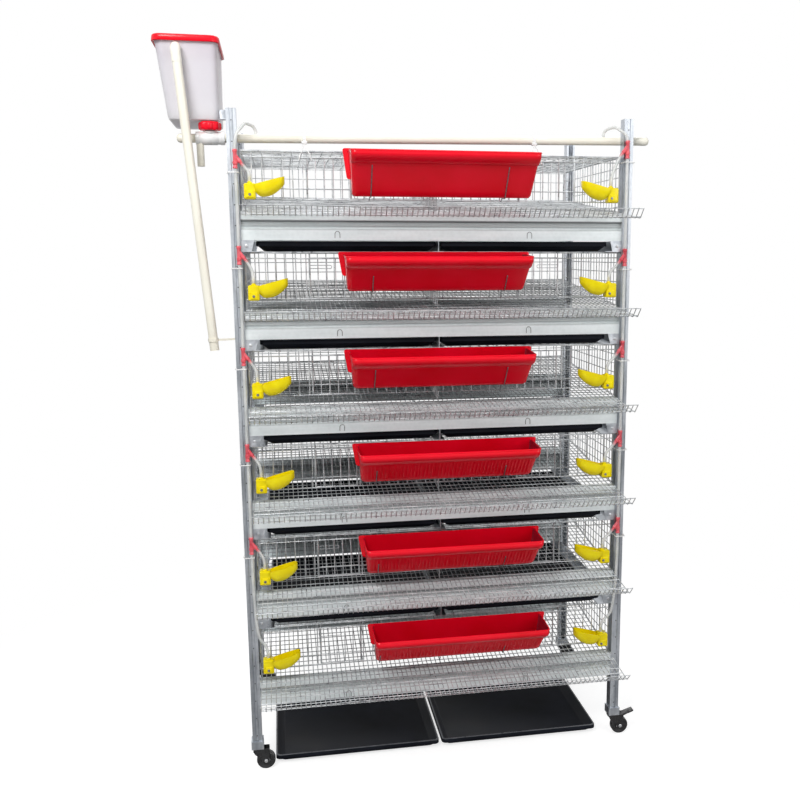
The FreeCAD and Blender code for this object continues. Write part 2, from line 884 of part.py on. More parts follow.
def supply_pipe():
    """Pipe along the top with closed ends, its outlet tee with the drain stub, and two hangers."""
    def axis(x):
        return V(x, pipe_y, pipe_height + pipe_rise * x)

    start = axis(pipe_left)
    end = axis(pipe_right)
    pipe = rod(start, end, pipe_radius)
    inward = (end - start).normalize() * (2 * pipe_wall)
    pipe = pipe.cut(rod(start + inward, end - inward, pipe_radius - pipe_wall))

    sleeve = rod(axis(outlet_sleeve_left), axis(outlet_sleeve_right), outlet_sleeve_radius)
    neck_foot = axis(outlet_x).z
    neck = Part.makeCylinder(outlet_neck_radius, spigot_foot - fitting_clearance - neck_foot,
                             V(outlet_x, pipe_y, neck_foot))
    stub_head = axis(stub_x).z
    stub = Part.makeCylinder(stub_radius, stub_head - stub_foot, V(stub_x, pipe_y, stub_foot))
    tee = sleeve.fuse([neck, stub])
    tee = tee.cut(rod(start, end, pipe_radius + fitting_clearance))
    tee = tee.cut(Part.makeCylinder(stub_bore, stub_bore_length, V(stub_x, pipe_y, stub_foot)))

    solids = [pipe.Solids[0], one(tee)]
    for x in hanger_places_x:
        centre = axis(x)
        along = (end - start).normalize()
        low = centre - along * (hanger_width / 2)
        ring = Part.makeCylinder(pipe_radius + fitting_clearance + hanger_wall, hanger_width, low, along)
        parts = []
        for spread in (-hanger_spread, hanger_spread):
            knee = V(x + spread * hanger_knee_share, panel_front_y - 2 * hanger_wire,
                     hanger_foot + hanger_knee_rise)
            shoulder = V(x, pipe_y - pipe_radius - fitting_clearance - hanger_wall / 2,
                         centre.z - hanger_shoulder_drop)
            tip = V(x + spread, knee.y, hanger_foot)
            parts.append(rod(shoulder, knee, hanger_wire))
            parts.append(Part.makeSphere(hanger_wire, knee))
            parts.append(rod(knee, tip, hanger_wire))
        bore = Part.makeCylinder(pipe_radius + fitting_clearance, 3 * hanger_width,
                                 low - along * hanger_width, along)
        solids.append(one(ring.fuse(parts).cut(bore)))
    return solids


def water_tank():
    """Tapered open tank with an outlet spigot, and the bracket between it and the left post."""
    front = front_y + tank_front
    back = front_y + tank_back
    low = (tank_foot_left, front + tank_draft_y, tank_foot_right, back - tank_draft_y)
    high = (tank_top_left, front, tank_top_right, back)

    def drawn_in(rectangle, wall):
        x0, y0, x1, y1 = rectangle
        return (x0 + wall, y0 + wall, x1 - wall, y1 - wall)

    body = frustum(low, tank_foot, high, tank_rim)
    spigot = Part.makeCylinder(outlet_neck_radius, tank_foot - spigot_foot,
                               V(outlet_x, pipe_y, spigot_foot))
    hollow = frustum(drawn_in(low, tank_wall), tank_foot + tank_wall,
                     drawn_in(high, tank_wall), tank_rim)
    drain = Part.makeCylinder(spigot_bore, tank_foot + tank_wall - spigot_foot,
                              V(outlet_x, pipe_y, spigot_foot))
    spout_hole = rod((riser_top_x, front - tank_wall, riser_bend_height),
                     (riser_top_x, front + tank_draft_y + tank_wall, riser_bend_height),
                     pipe_radius + fitting_clearance)
    tank = one(body.fuse(spigot).cut(hollow).cut(drain).cut(spout_hole))
    lean = (tank_top_right - tank_foot_right) / (tank_rim - tank_foot)

    def wall_x(z):
        return tank_foot_right + lean * (z - tank_foot) + bracket_clearance

    outline = [(wall_x(bracket_foot), bracket_foot), (-post_outer_x, bracket_foot),
               (-post_outer_x, bracket_head), (wall_x(bracket_head), bracket_head)]
    bracket_front = front + tank_draft_y
    bracket = prism_y(outline, bracket_front, bracket_front + bracket_width)
    return [tank, bracket]


def tank_lid():
    """Lid with a skirt outside the tank's rim and a seat on it."""
    front = front_y + tank_front
    back = front_y + tank_back
    o = lid_overhang
    c = lid_clearance
    foot = tank_rim - lid_overlap
    head = foot + lid_height
    seat = tank_rim + lid_seat_gap
    s = lid_seat_width
    outer = block((tank_top_left - o, front - o, foot), (tank_top_right + o, back + o, head))
    round_edges = [e for e in outer.Edges if abs(e.tangentAt(e.FirstParameter).z) > 0.9]
    outer = outer.makeFillet(o, round_edges)
    socket_space = block((tank_top_left - c, front - c, foot), (tank_top_right + c, back + c, seat))
    hollow = block((tank_top_left + s, front + s, seat), (tank_top_right - s, back - s, head - lid_top_wall))
    return one(outer.cut(socket_space).cut(hollow))


def outlet_nut():
    """Round nut with grip notches on the tank's spigot."""
    foot = spigot_foot + (tank_foot - spigot_foot - nut_height) / 2
    centre = V(outlet_x, pipe_y, foot)
    nut = Part.makeCylinder(nut_radius, nut_height, centre)
    notches = []
    for lobe in range(nut_lobes):
        angle = 2 * math.pi * lobe / nut_lobes
        spot = centre + V(math.cos(angle), math.sin(angle), 0) * nut_radius
        notches.append(Part.makeCylinder(nut_notch, nut_height, spot))
    bore = Part.makeCylinder(outlet_neck_radius + nut_clearance, nut_height, centre)
    return one(nut.cut(notches).cut(bore))


def inlet_riser():
    """Leaning riser that turns over the tank's wall, and the strap that holds its foot to the post."""
    y = front_y - riser_plane
    points = [(riser_top_x, front_y + riser_spout_depth, riser_bend_height),
              (riser_top_x, y, riser_bend_height), (riser_foot_x, y, riser_foot)]
    outer = tube(points, pipe_radius, riser_bend)[0]
    inner = tube(points, pipe_radius - pipe_wall, riser_bend)[0]
    riser = one(outer.cut(inner))
    along = V(*points[1]) - V(*points[2])
    share = (riser_strap_height - riser_foot) / (riser_bend_height - riser_foot)
    middle = V(*points[2]) + along * share
    along.normalize()
    low = middle - along * (riser_strap_width / 2)
    ring_radius = pipe_radius + fitting_clearance + riser_strap_wall
    ring = Part.makeCylinder(ring_radius, riser_strap_width, low, along)
    half = riser_strap_bar / 2
    bar_y = front_y - post_depth / 2 + half
    bar = prism_z([(middle.x, middle.y - half), (middle.x + ring_radius, middle.y - half),
                   (-post_outer_x, bar_y - half), (-post_outer_x, bar_y + half),
                   (middle.x + ring_radius, middle.y + half), (middle.x, middle.y + half)],
                  middle.z - half, middle.z + half)
    bore = Part.makeCylinder(pipe_radius + fitting_clearance, riser_strap_width * 2,
                             low - along * (riser_strap_width / 2), along)
    strap = one(ring.fuse(bar).cut(bore))
    return [riser, strap]


def fasteners():
    """Hose ties, screws of the tray rails and the small wire loops on the front beams."""
    solids = []
    for side in (-1, 1):
        for tier in range(1, tier_count):
            solids.append(tie(side * post_x, tee_foot(tier, side) - tie_drop))
    for tier in range(1, tier_count):
        for side in (-1, 1):
            x = side * (post_inner_x - screw_inset)
            z = tier_z(tier) - screw_drop
            front = Part.makeCylinder(screw_radius, screw_head, V(x, beam_face_y, z), V(0, -1, 0))
            solids.append(front)
            solids.append(mirrored(front, V(0, 1, 0)))
    for tier in range(1, tier_count + 1):
        for x in loop_places_x:
            z = tier_z(tier) + loop_foot
            h = loop_width / 2
            t = loop_wire
            bow = [(-h, 0), (-h, loop_height - t), (-h + t, loop_height), (h - t, loop_height),
                   (h, loop_height - t), (h, 0), (h - t, 0), (h - t, loop_height - t),
                   (-h + t, loop_height - t), (-h + t, 0)]
            outline = [(x + u, z + v) for u, v in bow]
            solids.append(prism_y(outline, beam_face_y - t, beam_face_y))
    return solids


def caster_fork(x, y):
    """Swivel fork with its stem, axle and pedal pin, trailing towards +X."""
    c = wheel_width / 2 + cheek_gap
    outer = c + cheek_wall
    axle = wheel_offset
    crown = block((x - crown_back, y - outer, crown_foot), (x + crown_front, y + outer, crown_head))
    bearing = Part.makeCylinder(bearing_radius, fork_top - crown_head, V(x, y, crown_head))
    stem = Part.makeCylinder(stem_radius, stem_height, V(x, y, crown_head))
    toe = wheel_radius - cheek_toe_drop
    cheek = [(-crown_back, crown_head), (-crown_back, crown_foot),
             (axle - cheek_waist_half, wheel_radius), (axle - cheek_toe_half, toe),
             (axle + cheek_toe_half, toe), (axle + cheek_waist_half, wheel_radius),
             (cheek_nose, crown_foot - cheek_nose_drop), (cheek_nose, crown_head)]
    outline = [(x + u, z) for u, z in cheek]
    parts = [bearing, stem, prism_y(outline, y - outer, y - c), prism_y(outline, y + c, y + outer)]
    parts.append(rod((x + axle, y - outer, wheel_radius), (x + axle, y + outer, wheel_radius),
                     axle_radius))
    for side in (-1, 1):
        parts.append(rod((x + axle, y + side * outer, wheel_radius),
                         (x + axle, y + side * (outer + axle_head), wheel_radius), axle_head_radius))
    parts.append(rod((x + pedal_pivot_out, y - outer, pedal_pivot_height),
                     (x + pedal_pivot_out, y + outer, pedal_pivot_height), pedal_pin_radius))
    return one(crown.fuse(parts))


def caster_wheel(x, y):
    """Wheel with a recess round its hub on both sides."""
    half = wheel_width / 2
    centre = V(x + wheel_offset, y - half, wheel_radius)
    along = V(0, 1, 0)
    wheel = Part.makeCylinder(wheel_radius, wheel_width, centre, along)
    for start in (0, wheel_width - wheel_recess_depth):
        spot = centre + along * start
        ring = Part.makeCylinder(wheel_recess_outer, wheel_recess_depth, spot, along)
        ring = ring.cut(Part.makeCylinder(wheel_recess_inner, wheel_recess_depth, spot, along))
        wheel = wheel.cut(ring)
    bore = Part.makeCylinder(axle_radius + bore_clearance, wheel_width, centre, along)
    return one(wheel.cut(bore))


def brake_pedal(x, y):
    """Pedal on the fork's pin, above the wheel's trailing side."""
    half = wheel_width / 2 + cheek_gap - pedal_side_gap
    pivot_x = x + pedal_pivot_out
    pivot_z = pedal_pivot_height
    barrel = rod((pivot_x, y - half, pivot_z), (pivot_x, y + half, pivot_z), pedal_barrel_radius)
    tip_x = pivot_x + pedal_length
    tip_z = pivot_z + pedal_rise
    outline = [(pivot_x, pivot_z), (tip_x, tip_z), (tip_x, tip_z + pedal_wall),
               (pivot_x, pivot_z + pedal_wall)]
    lever = prism_y(outline, y - half, y + half)
    bore = rod((pivot_x, y - half, pivot_z), (pivot_x, y + half, pivot_z),
               pedal_pin_radius + bore_clearance)
    return one(barrel.fuse(lever).cut(bore))


def build_nodes():
    """All nodes of the cage: a name and its solids."""
    tiers = range(1, tier_count + 1)
    sides = {"left": -1, "right": 1}
    nodes = {}

    nodes["front_posts"] = []
    nodes["rear_posts"] = []
    for side in (-1, 1):
        x = side * post_x
        nodes["front_posts"] += [post(x, front_y, False), socket(x, front_y)]
        nodes["rear_posts"] += [post(x, -front_y, True), socket(x, -front_y)]

    nodes["front_beams"] = [front_beam(tier) for tier in tiers]
    nodes["rear_beams"] = [mirrored(beam, V(0, 1, 0)) for beam in nodes["front_beams"]]

    nodes["tray_rails"] = []
    nodes["cage_floors"] = []
    nodes["cage_fronts"] = []
    nodes["cage_walls"] = []
    nodes["cage_tops"] = []
    nodes["cage_partitions"] = []
    nodes["trough_hooks"] = []
    nodes["drinker_cups"] = []
    for tier in tiers:
        if tier < tier_count:
            nodes["tray_rails"] += tray_rails(tier)
        nodes["cage_floors"] += cage_floor(tier)
        nodes["cage_fronts"] += cage_front(tier)
        nodes["cage_walls"] += cage_walls(tier)
        nodes["cage_tops"].append(cage_top(tier))
        nodes["cage_partitions"].append(upright_net(tier, partition_x - net_wire / 2))
        for x in hook_places_x:
            nodes["trough_hooks"].append(trough_hook(tier, x))
        for side in sides.values():
            nodes["drinker_cups"].append(drinker_cup(tier, side))

    for tier in tiers:
        for name, side in sides.items():
            left = -tray_gap / 2 - tray_width if side < 0 else tray_gap / 2
            if tier < tier_count:
                foot = tier_z(tier) - rail_height + rail_wall + tray_clearance
                tray = dung_tray(left, front_y + tray_front_tier, foot)
            else:
                tray = dung_tray(left, front_y + tray_front_floor, tray_clearance)
            nodes["manure_tray_%d_%s" % (tier, name)] = [tray]
            centre = door_centres_x[0] if side < 0 else door_centres_x[1]
            nodes["door_%d_%s" % (tier, name)] = [door(tier, centre)]
        nodes["feed_trough_%d" % tier] = [feed_trough(tier)]

    nodes["hose_tees"] = []
    nodes["water_hoses"] = []
    for side in (-1, 1):
        for tier in range(1, tier_count):
            nodes["hose_tees"].append(hose_tee(tier, side))
        for points in hoses(side):
            shape, radii, length = tube(points, hose_radius)
            nodes["water_hoses"].append(shape.Solids[0])
            section = math.pi * hose_radius ** 2
            print("hose", [round(r, 1) for r in radii], "length", round(length, 1),
                  "volume over section times length", round(shape.Volume / (section * length), 4))

    nodes["supply_pipe"] = supply_pipe()
    nodes["water_tank"] = water_tank()
    nodes["tank_lid"] = [tank_lid()]
    nodes["tank_valve_knob"] = [outlet_nut()]
    nodes["inlet_riser"] = inlet_riser()
    nodes["ties_and_fasteners"] = fasteners()

    corners = {"front_left": (-1, 1), "front_right": (1, 1), "rear_left": (-1, -1),
               "rear_right": (1, -1)}
    for name, (side, end) in corners.items():
        x = side * post_x
        y = end * front_y
        nodes["caster_fork_" + name] = [caster_fork(x, y)]
        nodes["caster_wheel_" + name] = [caster_wheel(x, y)]
        if name in ("front_right", "rear_left"):
            nodes["brake_pedal_" + name] = [brake_pedal(x, y)]
    return nodes


os.makedirs("parts", exist_ok=True)
for node_name, node_solids in build_nodes().items():
    for solid in node_solids:
        if not solid.isValid() or solid.Volume <= 0:
            print("bad solid in", node_name, solid.ShapeType, solid.Volume)
    whole = node_solids[0] if len(node_solids) == 1 else Part.makeCompound(node_solids)
    whole.exportStep("parts/%s.step" % node_name)
    print(node_name, len(node_solids), "solids")
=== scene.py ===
import math

import bpy
import numpy as np
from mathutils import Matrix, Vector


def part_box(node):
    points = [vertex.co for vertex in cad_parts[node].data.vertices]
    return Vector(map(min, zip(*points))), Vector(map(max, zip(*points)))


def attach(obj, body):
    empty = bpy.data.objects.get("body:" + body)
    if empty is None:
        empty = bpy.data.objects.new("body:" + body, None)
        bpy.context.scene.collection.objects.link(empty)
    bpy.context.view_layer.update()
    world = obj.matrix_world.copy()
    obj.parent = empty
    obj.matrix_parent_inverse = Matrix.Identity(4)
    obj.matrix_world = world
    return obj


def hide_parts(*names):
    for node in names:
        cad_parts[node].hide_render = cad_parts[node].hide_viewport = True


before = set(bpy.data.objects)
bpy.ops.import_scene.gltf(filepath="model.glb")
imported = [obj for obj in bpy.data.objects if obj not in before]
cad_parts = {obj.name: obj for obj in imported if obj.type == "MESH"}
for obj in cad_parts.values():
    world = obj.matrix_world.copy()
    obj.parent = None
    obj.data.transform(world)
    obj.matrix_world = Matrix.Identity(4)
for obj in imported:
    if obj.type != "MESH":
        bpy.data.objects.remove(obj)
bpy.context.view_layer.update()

# The frame: four roll-formed steel posts on caster sockets. Zinc-coated strip with a groove down the
# outer face and a row of small holes in it, made on a rolling line and cut to length.
beam_low, beam_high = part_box("front_beams")
tiers = 6
beam_height = 0.070
front_y = -0.262
post_x = 0.505
lowest_beam = beam_low.z
tier_pitch = (beam_high.z - beam_height - lowest_beam) / (tiers - 1)


def tier_z(tier):
    """Height of a tier's beams' lower edge, counted down from the top tier, 1."""
    return lowest_beam + (tiers - tier) * tier_pitch


def add(tree, kind, sockets=(), **settings):
    """One shader node with its settings and the values of its inputs, by number or name."""
    made = tree.nodes.new("ShaderNode" + kind)
    for name, value in settings.items():
        setattr(made, name, value)
    for name, value in dict(sockets).items():
        if isinstance(value, bpy.types.NodeSocket):
            tree.links.new(value, made.inputs[name])
        else:
            made.inputs[name].default_value = value
    return made


def shade(name, slot, colour, roughness, metallic=0.0, **constants):
    """A principled material under a slot of the record; returns it with its tree and its shader."""
    made = bpy.data.materials.new(name)
    made["slot"] = slot
    made.use_nodes = True
    tree = made.node_tree
    shader = tree.nodes["Principled BSDF"]
    shader.inputs["Base Color"].default_value = (*colour, 1)
    shader.inputs["Roughness"].default_value = roughness
    shader.inputs["Metallic"].default_value = metallic
    for socket, value in constants.items():
        shader.inputs[socket.replace("_", " ")].default_value = value
    return made, tree, shader


def where(tree, scale=(1, 1, 1)):
    """The place on the piece in metres, stretched by a factor along each axis."""
    spot = add(tree, "TexCoord").outputs["Object"]
    return add(tree, "Mapping", {"Vector": spot, "Scale": scale}).outputs["Vector"]


def mottle(tree, shader, spot, scale, dark, light, rough_low, rough_high, bump=0.0, detail=6.0):
    """Cloudy change between two colours and two roughnesses, with a faint relief of the same grain."""
    noise = add(tree, "TexNoise", {"Vector": spot, "Scale": scale, "Detail": detail})
    ramp = add(tree, "ValToRGB", {"Fac": noise.outputs["Fac"]})
    ramp.color_ramp.elements[0].position = 0.35
    ramp.color_ramp.elements[0].color = (*dark, 1)
    ramp.color_ramp.elements[1].position = 0.65
    ramp.color_ramp.elements[1].color = (*light, 1)
    tree.links.new(ramp.outputs["Color"], shader.inputs["Base Color"])
    rough = add(tree, "MapRange", {"Value": noise.outputs["Fac"], "From Min": 0.3, "From Max": 0.7,
                                   "To Min": rough_low, "To Max": rough_high})
    tree.links.new(rough.outputs["Result"], shader.inputs["Roughness"])
    if bump:
        relief = add(tree, "Bump", {"Strength": bump, "Distance": 0.001,
                                    "Height": noise.outputs["Fac"]})
        tree.links.new(relief.outputs["Normal"], shader.inputs["Normal"])
    return ramp


def mottled(name, slot, base, scale, dark, light, rough, bump=0.0, **constants):
    """A cloudy material: its plain colour, roughness and metallic share, then the cloud over them."""
    made, tree, shader = shade(name, slot, *base, **constants)
    mottle(tree, shader, where(tree), scale, dark, light, *rough, bump)
    return made


def zinc_sheet(name, dark, light, scale=(1, 1, 0.15), patch_low=0.90):
    """Zinc coating: crystal patches from a cell pattern over faint rolling streaks."""
    made, tree, shader = shade(name, "galvanised", light, 0.35, 1.0)
    ramp = mottle(tree, shader, where(tree, scale), 60.0, dark, light, 0.28, 0.46, 0.08)
    cells = add(tree, "TexVoronoi", {"Vector": where(tree), "Scale": 110.0, "Randomness": 1.0})
    patch = add(tree, "MapRange", {"Value": cells.outputs["Distance"], "From Min": 0.0,
                                   "From Max": 0.9, "To Min": patch_low, "To Max": 1.04})
    blend = add(tree, "MixRGB", {"Fac": 1.0, "Color1": ramp.outputs["Color"],
                                 "Color2": patch.outputs["Result"]}, blend_type="MULTIPLY")
    tree.links.new(blend.outputs["Color"], shader.inputs["Base Color"])
    return made, tree, shader, blend


def painted_hole_shade(tree, shader, base, middle_x, pitch, radius):
    """Painted shade of round holes: dark dots at a steady pitch up a line, where the distance to the
    nearest middle decides.
    """
    parts = add(tree, "SeparateXYZ", {"Vector": where(tree)})
    side = add(tree, "Math", {0: parts.outputs["X"]}, operation="ABSOLUTE").outputs[0]
    side = add(tree, "Math", {0: side, 1: middle_x}, operation="SUBTRACT").outputs[0]
    rise = add(tree, "Math", {0: parts.outputs["Z"], 1: pitch}, operation="PINGPONG").outputs[0]
    side = add(tree, "Math", {0: side, 1: side}, operation="MULTIPLY").outputs[0]
    rise = add(tree, "Math", {0: rise, 1: rise}, operation="MULTIPLY").outputs[0]
    reach = add(tree, "Math", {0: side, 1: rise}, operation="ADD").outputs[0]
    inside = add(tree, "Math", {0: reach, 1: radius * radius}, operation="LESS_THAN").outputs[0]
    paint = add(tree, "MixRGB", {"Fac": inside, "Color1": base, "Color2": (0.12, 0.12, 0.13, 1)})
    tree.links.new(paint.outputs["Color"], shader.inputs["Base Color"])


def dress(node, finish):
    """Gives a CAD node its finish."""
    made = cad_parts[node]
    made.data.materials.clear()
    made.data.materials.append(finish)


post_zinc, post_tree, post_shader, post_base = zinc_sheet(
    "post_zinc", (0.40, 0.43, 0.47), (0.62, 0.65, 0.69))
# The posts' small holes: their shade is painted as dark dots in the colour.
painted_hole_shade(post_tree, post_shader, post_base.outputs["Color"], post_x, 0.025, 0.0017)
dress("front_posts", post_zinc)
dress("rear_posts", post_zinc)


def grid(rows, columns, closed=True):
    """Faces between neighbouring rows of points; each row joins up with itself where closed."""
    row = np.arange(rows - 1)[:, None] * columns
    column = np.arange(columns if closed else columns - 1)[None, :]
    after = (column + 1) % columns
    corners = [row + column, row + after, row + columns + after, row + columns + column]
    return np.stack(corners, -1).reshape(-1, 4)


def placed(x, y, z):
    """Points from three coordinates, where a single number serves for all points."""
    return np.column_stack(np.broadcast_arrays(x, y, z)).astype(float)


def piece(name, points, faces, finish, body, *nodes, angle=35):
    """A mesh from points and faces, with its finish, riding on a body in place of CAD nodes."""
    mesh = bpy.data.meshes.new(name)
    mesh.from_pydata(np.asarray(points).reshape(-1, 3).tolist(), [], faces)
    mesh.update()
    mesh.materials.append(finish)
    made = bpy.data.objects.new(name, mesh)
    bpy.context.scene.collection.objects.link(made)
    mesh.shade_smooth()
    mesh.set_sharp_from_angle(angle=math.radians(angle))
    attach(made, body)
    if nodes:
        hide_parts(*nodes)
    return made


def joined(parts):
    """Points and faces of several parts as one, the later faces counted on from the earlier points."""
    points = []
    faces = []
    total = 0
    for part_points, part_faces in parts:
        part_points = np.asarray(part_points, float).reshape(-1, 3)
        points.append(part_points)
        faces += [[corner + total for corner in face] for face in part_faces]
        total += len(part_points)
    return np.concatenate(points), faces


def rods(paths, radius, sides=6):
    """Round wires along paths (wire, point, xyz): a ring across each mean direction, joined up."""
    paths = np.asarray(paths, float)
    count, length, _ = paths.shape
    step = np.diff(paths, axis=1)
    step /= np.linalg.norm(step, axis=2, keepdims=True)
    along = np.concatenate([step[:, :1], step[:, :-1] + step[:, 1:], step[:, -1:]], axis=1)
    along /= np.linalg.norm(along, axis=2, keepdims=True)
    steady = np.eye(3)[np.argmin(np.abs(along).max(axis=1), axis=1)][:, None, :]
    side = np.cross(along, steady)
    side /= np.linalg.norm(side, axis=2, keepdims=True)
    up = np.cross(side, along)
    turn = np.arange(sides) * 2 * math.pi / sides
    turn = turn[None, None, :, None]
    points = paths[:, :, None] + radius * (np.cos(turn) * side[:, :, None]
                                           + np.sin(turn) * up[:, :, None])
    per_wire = length * sides
    one = grid(length, sides)[:, ::-1]
    starts = np.arange(count)[:, None, None] * per_wire
    faces = (starts + one[None]).reshape(-1, 4).tolist()
    cap = np.arange(sides)
    faces += (starts[:, 0] + cap[None]).tolist()
    faces += (starts[:, 0] + (length - 1) * sides + cap[None, ::-1]).tolist()
    return points.reshape(-1, 3), faces


# The beams: pressed channels of bright zinc-coated sheet with a ribbed groove, screwed to the posts
# through their end plates.
beam_zinc, beam_tree, beam_shader, beam_base = zinc_sheet(
    "beam_zinc", (0.80, 0.86, 0.87), (0.88, 0.93, 0.94), (0.12, 1, 1), 0.98)
beam_shader.inputs["Metallic"].default_value = 0.25
beam_shader.inputs["Specular IOR Level"].default_value = 0.3
# Painted shade: a ramp by height within each tier darkens the beam's colour in bands where the groove
# lies in shade below the upper flange.
beam_place = add(beam_tree, "SeparateXYZ", {"Vector": where(beam_tree)})
beam_rise = add(beam_tree, "Math", {0: beam_place.outputs["Z"], 1: lowest_beam},
                operation="SUBTRACT").outputs[0]
beam_rise = add(beam_tree, "Math", {0: beam_rise, 1: tier_pitch}, operation="MODULO").outputs[0]
beam_share = add(beam_tree, "Math", {0: beam_rise, 1: beam_height}, operation="DIVIDE").outputs[0]
groove_shade = add(beam_tree, "ValToRGB", {"Fac": beam_share}).outputs["Color"]
groove_shade_ramp = groove_shade.node.color_ramp
groove_shade_ramp.elements[0].color = (0.96, 0.96, 0.96, 1)
groove_shade_ramp.elements[1].color = (0.93, 0.93, 0.93, 1)
for place, level in ((0.34, 1.0), (0.39, 0.70), (0.42, 0.86), (0.50, 0.62), (0.63, 0.50),
                     (0.675, 0.26), (0.70, 0.30), (0.73, 0.95)):
    groove_shade_ramp.elements.new(place).color = (level, level, level, 1)
beam_shadow = add(beam_tree, "MixRGB", {"Fac": 1.0, "Color1": beam_base.outputs["Color"],
                                        "Color2": groove_shade}, blend_type="MULTIPLY").outputs["Color"]
beam_tree.links.new(beam_shadow, beam_shader.inputs["Base Color"])
dress("front_beams", beam_zinc)
dress("rear_beams", beam_zinc)

# The rails under five tiers: folded zinc-coated angles with a gusset at each end, and a middle runner
# shaped like a turned-over T, hung under the beams.
rail_zinc = zinc_sheet("rail_zinc", (0.48, 0.51, 0.55), (0.70, 0.73, 0.77), (1, 0.15, 1))[0]
dress("tray_rails", rail_zinc)

# The sloping floors: welded net of zinc-coated wire, its cross wires 12.5 mm apart, bent up at the
# front into a lip that stops the eggs. The wires are drawn, straightened and spot welded.
wire_radius = 0.00115
floor_pitch_x = 0.0125
floor_pitch_y = 0.025
net_half = 0.487
floor_slope = 0.11
rollout_bend = front_y - 0.162
lip_edge = (front_y - 0.1868, 0.0234)
back_y = 0.260
random = np.random.default_rng(7)

net_zinc = mottled("net_zinc", "zinc_wire", ((0.60, 0.61, 0.62), 0.34, 0.6), 45.0,
                   (0.44, 0.46, 0.48), (0.70, 0.72, 0.73), (0.24, 0.44))


def floor_z(tier, y):
    """Height of the floor net's middle at a place along Y: a steady rise from the front beam's edge."""
    return tier_z(tier) + beam_height + 0.0012 + floor_slope * (y - front_y + 0.012)


def spaced(start, end, pitch):
    """Middles of wires between two ends, as near to the pitch as fits."""
    return np.linspace(start, end, int(round(abs(end - start) / pitch)) + 1)


def waver(paths, amount):
    """Small sideways errors of welded wire, the same for the whole of each wire and a little bow."""
    count, length, _ = paths.shape
    whole = random.normal(0, amount, (count, 1, 3))
    bow = random.normal(0, amount, (count, 1, 3))
    return paths + whole + bow * np.sin(np.linspace(0, math.pi, length))[None, :, None]


def straight(starts, ends, points=2):
    """Straight paths from each start to its end."""
    share = np.linspace(0, 1, points)[None, :, None]
    return np.asarray(starts)[:, None] * (1 - share) + np.asarray(ends)[:, None] * share


def sagged(wires, amount):
    """Long wires that stray a little in height between their held ends."""
    sag = random.normal(0, amount, wires.shape[:2])
    sag[:, [0, -1]] = 0
    wires[:, :, 2] += sag
    return wires


floor_parts = []
for tier in range(1, tiers + 1):
    x = spaced(-net_half, net_half, floor_pitch_x)
    bend_z = floor_z(tier, rollout_bend)
    profile = [(back_y, floor_z(tier, back_y)), (0, floor_z(tier, 0)),
               (rollout_bend + 0.003, floor_z(tier, rollout_bend + 0.003)),
               (rollout_bend - 0.002, bend_z + 0.001),
               (lip_edge[0], bend_z + lip_edge[1])]
    cross = np.zeros((len(x), len(profile), 3))
    cross[:, :, 0] = x[:, None]
    cross[:, :, 1:] = np.array(profile)[None]
    cross[:, 0] += random.normal(0, 0.0003, (len(x), 3))
    floor_parts.append(rods(cross, wire_radius))
    y = spaced(back_y - 0.002, rollout_bend + 0.006, floor_pitch_y)
    z = floor_z(tier, y) + 1.6 * wire_radius
    ends = placed(net_half, y, z)
    lip = [(lip_edge[0] + 0.001, bend_z + lip_edge[1] - 0.001),
           (rollout_bend - 0.004, bend_z + 0.0035)]
    ends = np.concatenate([ends, [(net_half, lip_y, lip_z) for lip_y, lip_z in lip]])
    floor_parts.append(rods(sagged(straight(ends * (-1, 1, 1), ends, 9), 0.0006), wire_radius))
piece("floor_nets", *joined(floor_parts), net_zinc, "frame", "cage_floors", angle=60)

# The front of each tier: upright bars between three long wires, cut out for two doors.
# Zinc-coated wire, welded flat and clipped to the top net and the sides.
panel_y = front_y + 0.002
panel_top = 0.2145
door_wire = 0.202
panel_sill = 0.126
panel_foot = 0.100
bar_radius = 0.0014
bar_pitch = 0.025
door_middles = (-0.274, 0.268)
door_width = 0.112

front_parts = []
for tier in range(1, tiers + 1):
    z = tier_z(tier)
    x = spaced(-net_half, net_half, bar_pitch)
    behind_door = np.zeros(len(x), bool)
    for middle in door_middles:
        behind_door |= np.abs(x - middle) < door_width / 2 - 0.004
    low = placed(x[~behind_door], panel_y, z + panel_foot)
    high = low + (0, 0, panel_top - panel_foot)
    front_parts.append(rods(waver(straight(low, high, 3), 0.0004), bar_radius))
    edges = [-net_half]
    for middle in door_middles:
        jambs = middle + np.array([-1, 1]) * (door_width / 2 - 0.003)
        low = placed(jambs, panel_y, z + panel_foot)
        front_parts.append(rods(straight(low, low + (0, 0, panel_top - panel_foot)), bar_radius))
        edges += list(jambs)
    edges.append(net_half)
    wires = [(-net_half, net_half, level) for level in (panel_top, door_wire, panel_foot)]
    wires += [(left, right, panel_sill) for left, right in zip(edges[0::2], edges[1::2])]
    left, right, level = np.array(wires).T
    low = placed(left, panel_y - bar_radius, z + level)
    high = placed(right, panel_y - bar_radius, z + level)
    front_parts.append(rods(sagged(straight(low, high, 7), 0.0008), bar_radius))
piece("front_bars", *joined(front_parts), net_zinc, "frame", "cage_fronts", angle=60)

# The sides, backs, tops and middle partitions: welded net with 25 mm squares, cut to the slope of
# the floor where it stands on it.
net_pitch = 0.025
back_foot = 0.0715
back_top = 0.214
back_pitch = 0.0283
side_x = 0.4868
partition_x = -0.002
top_level = 0.2162
front_edge = front_y + 0.003


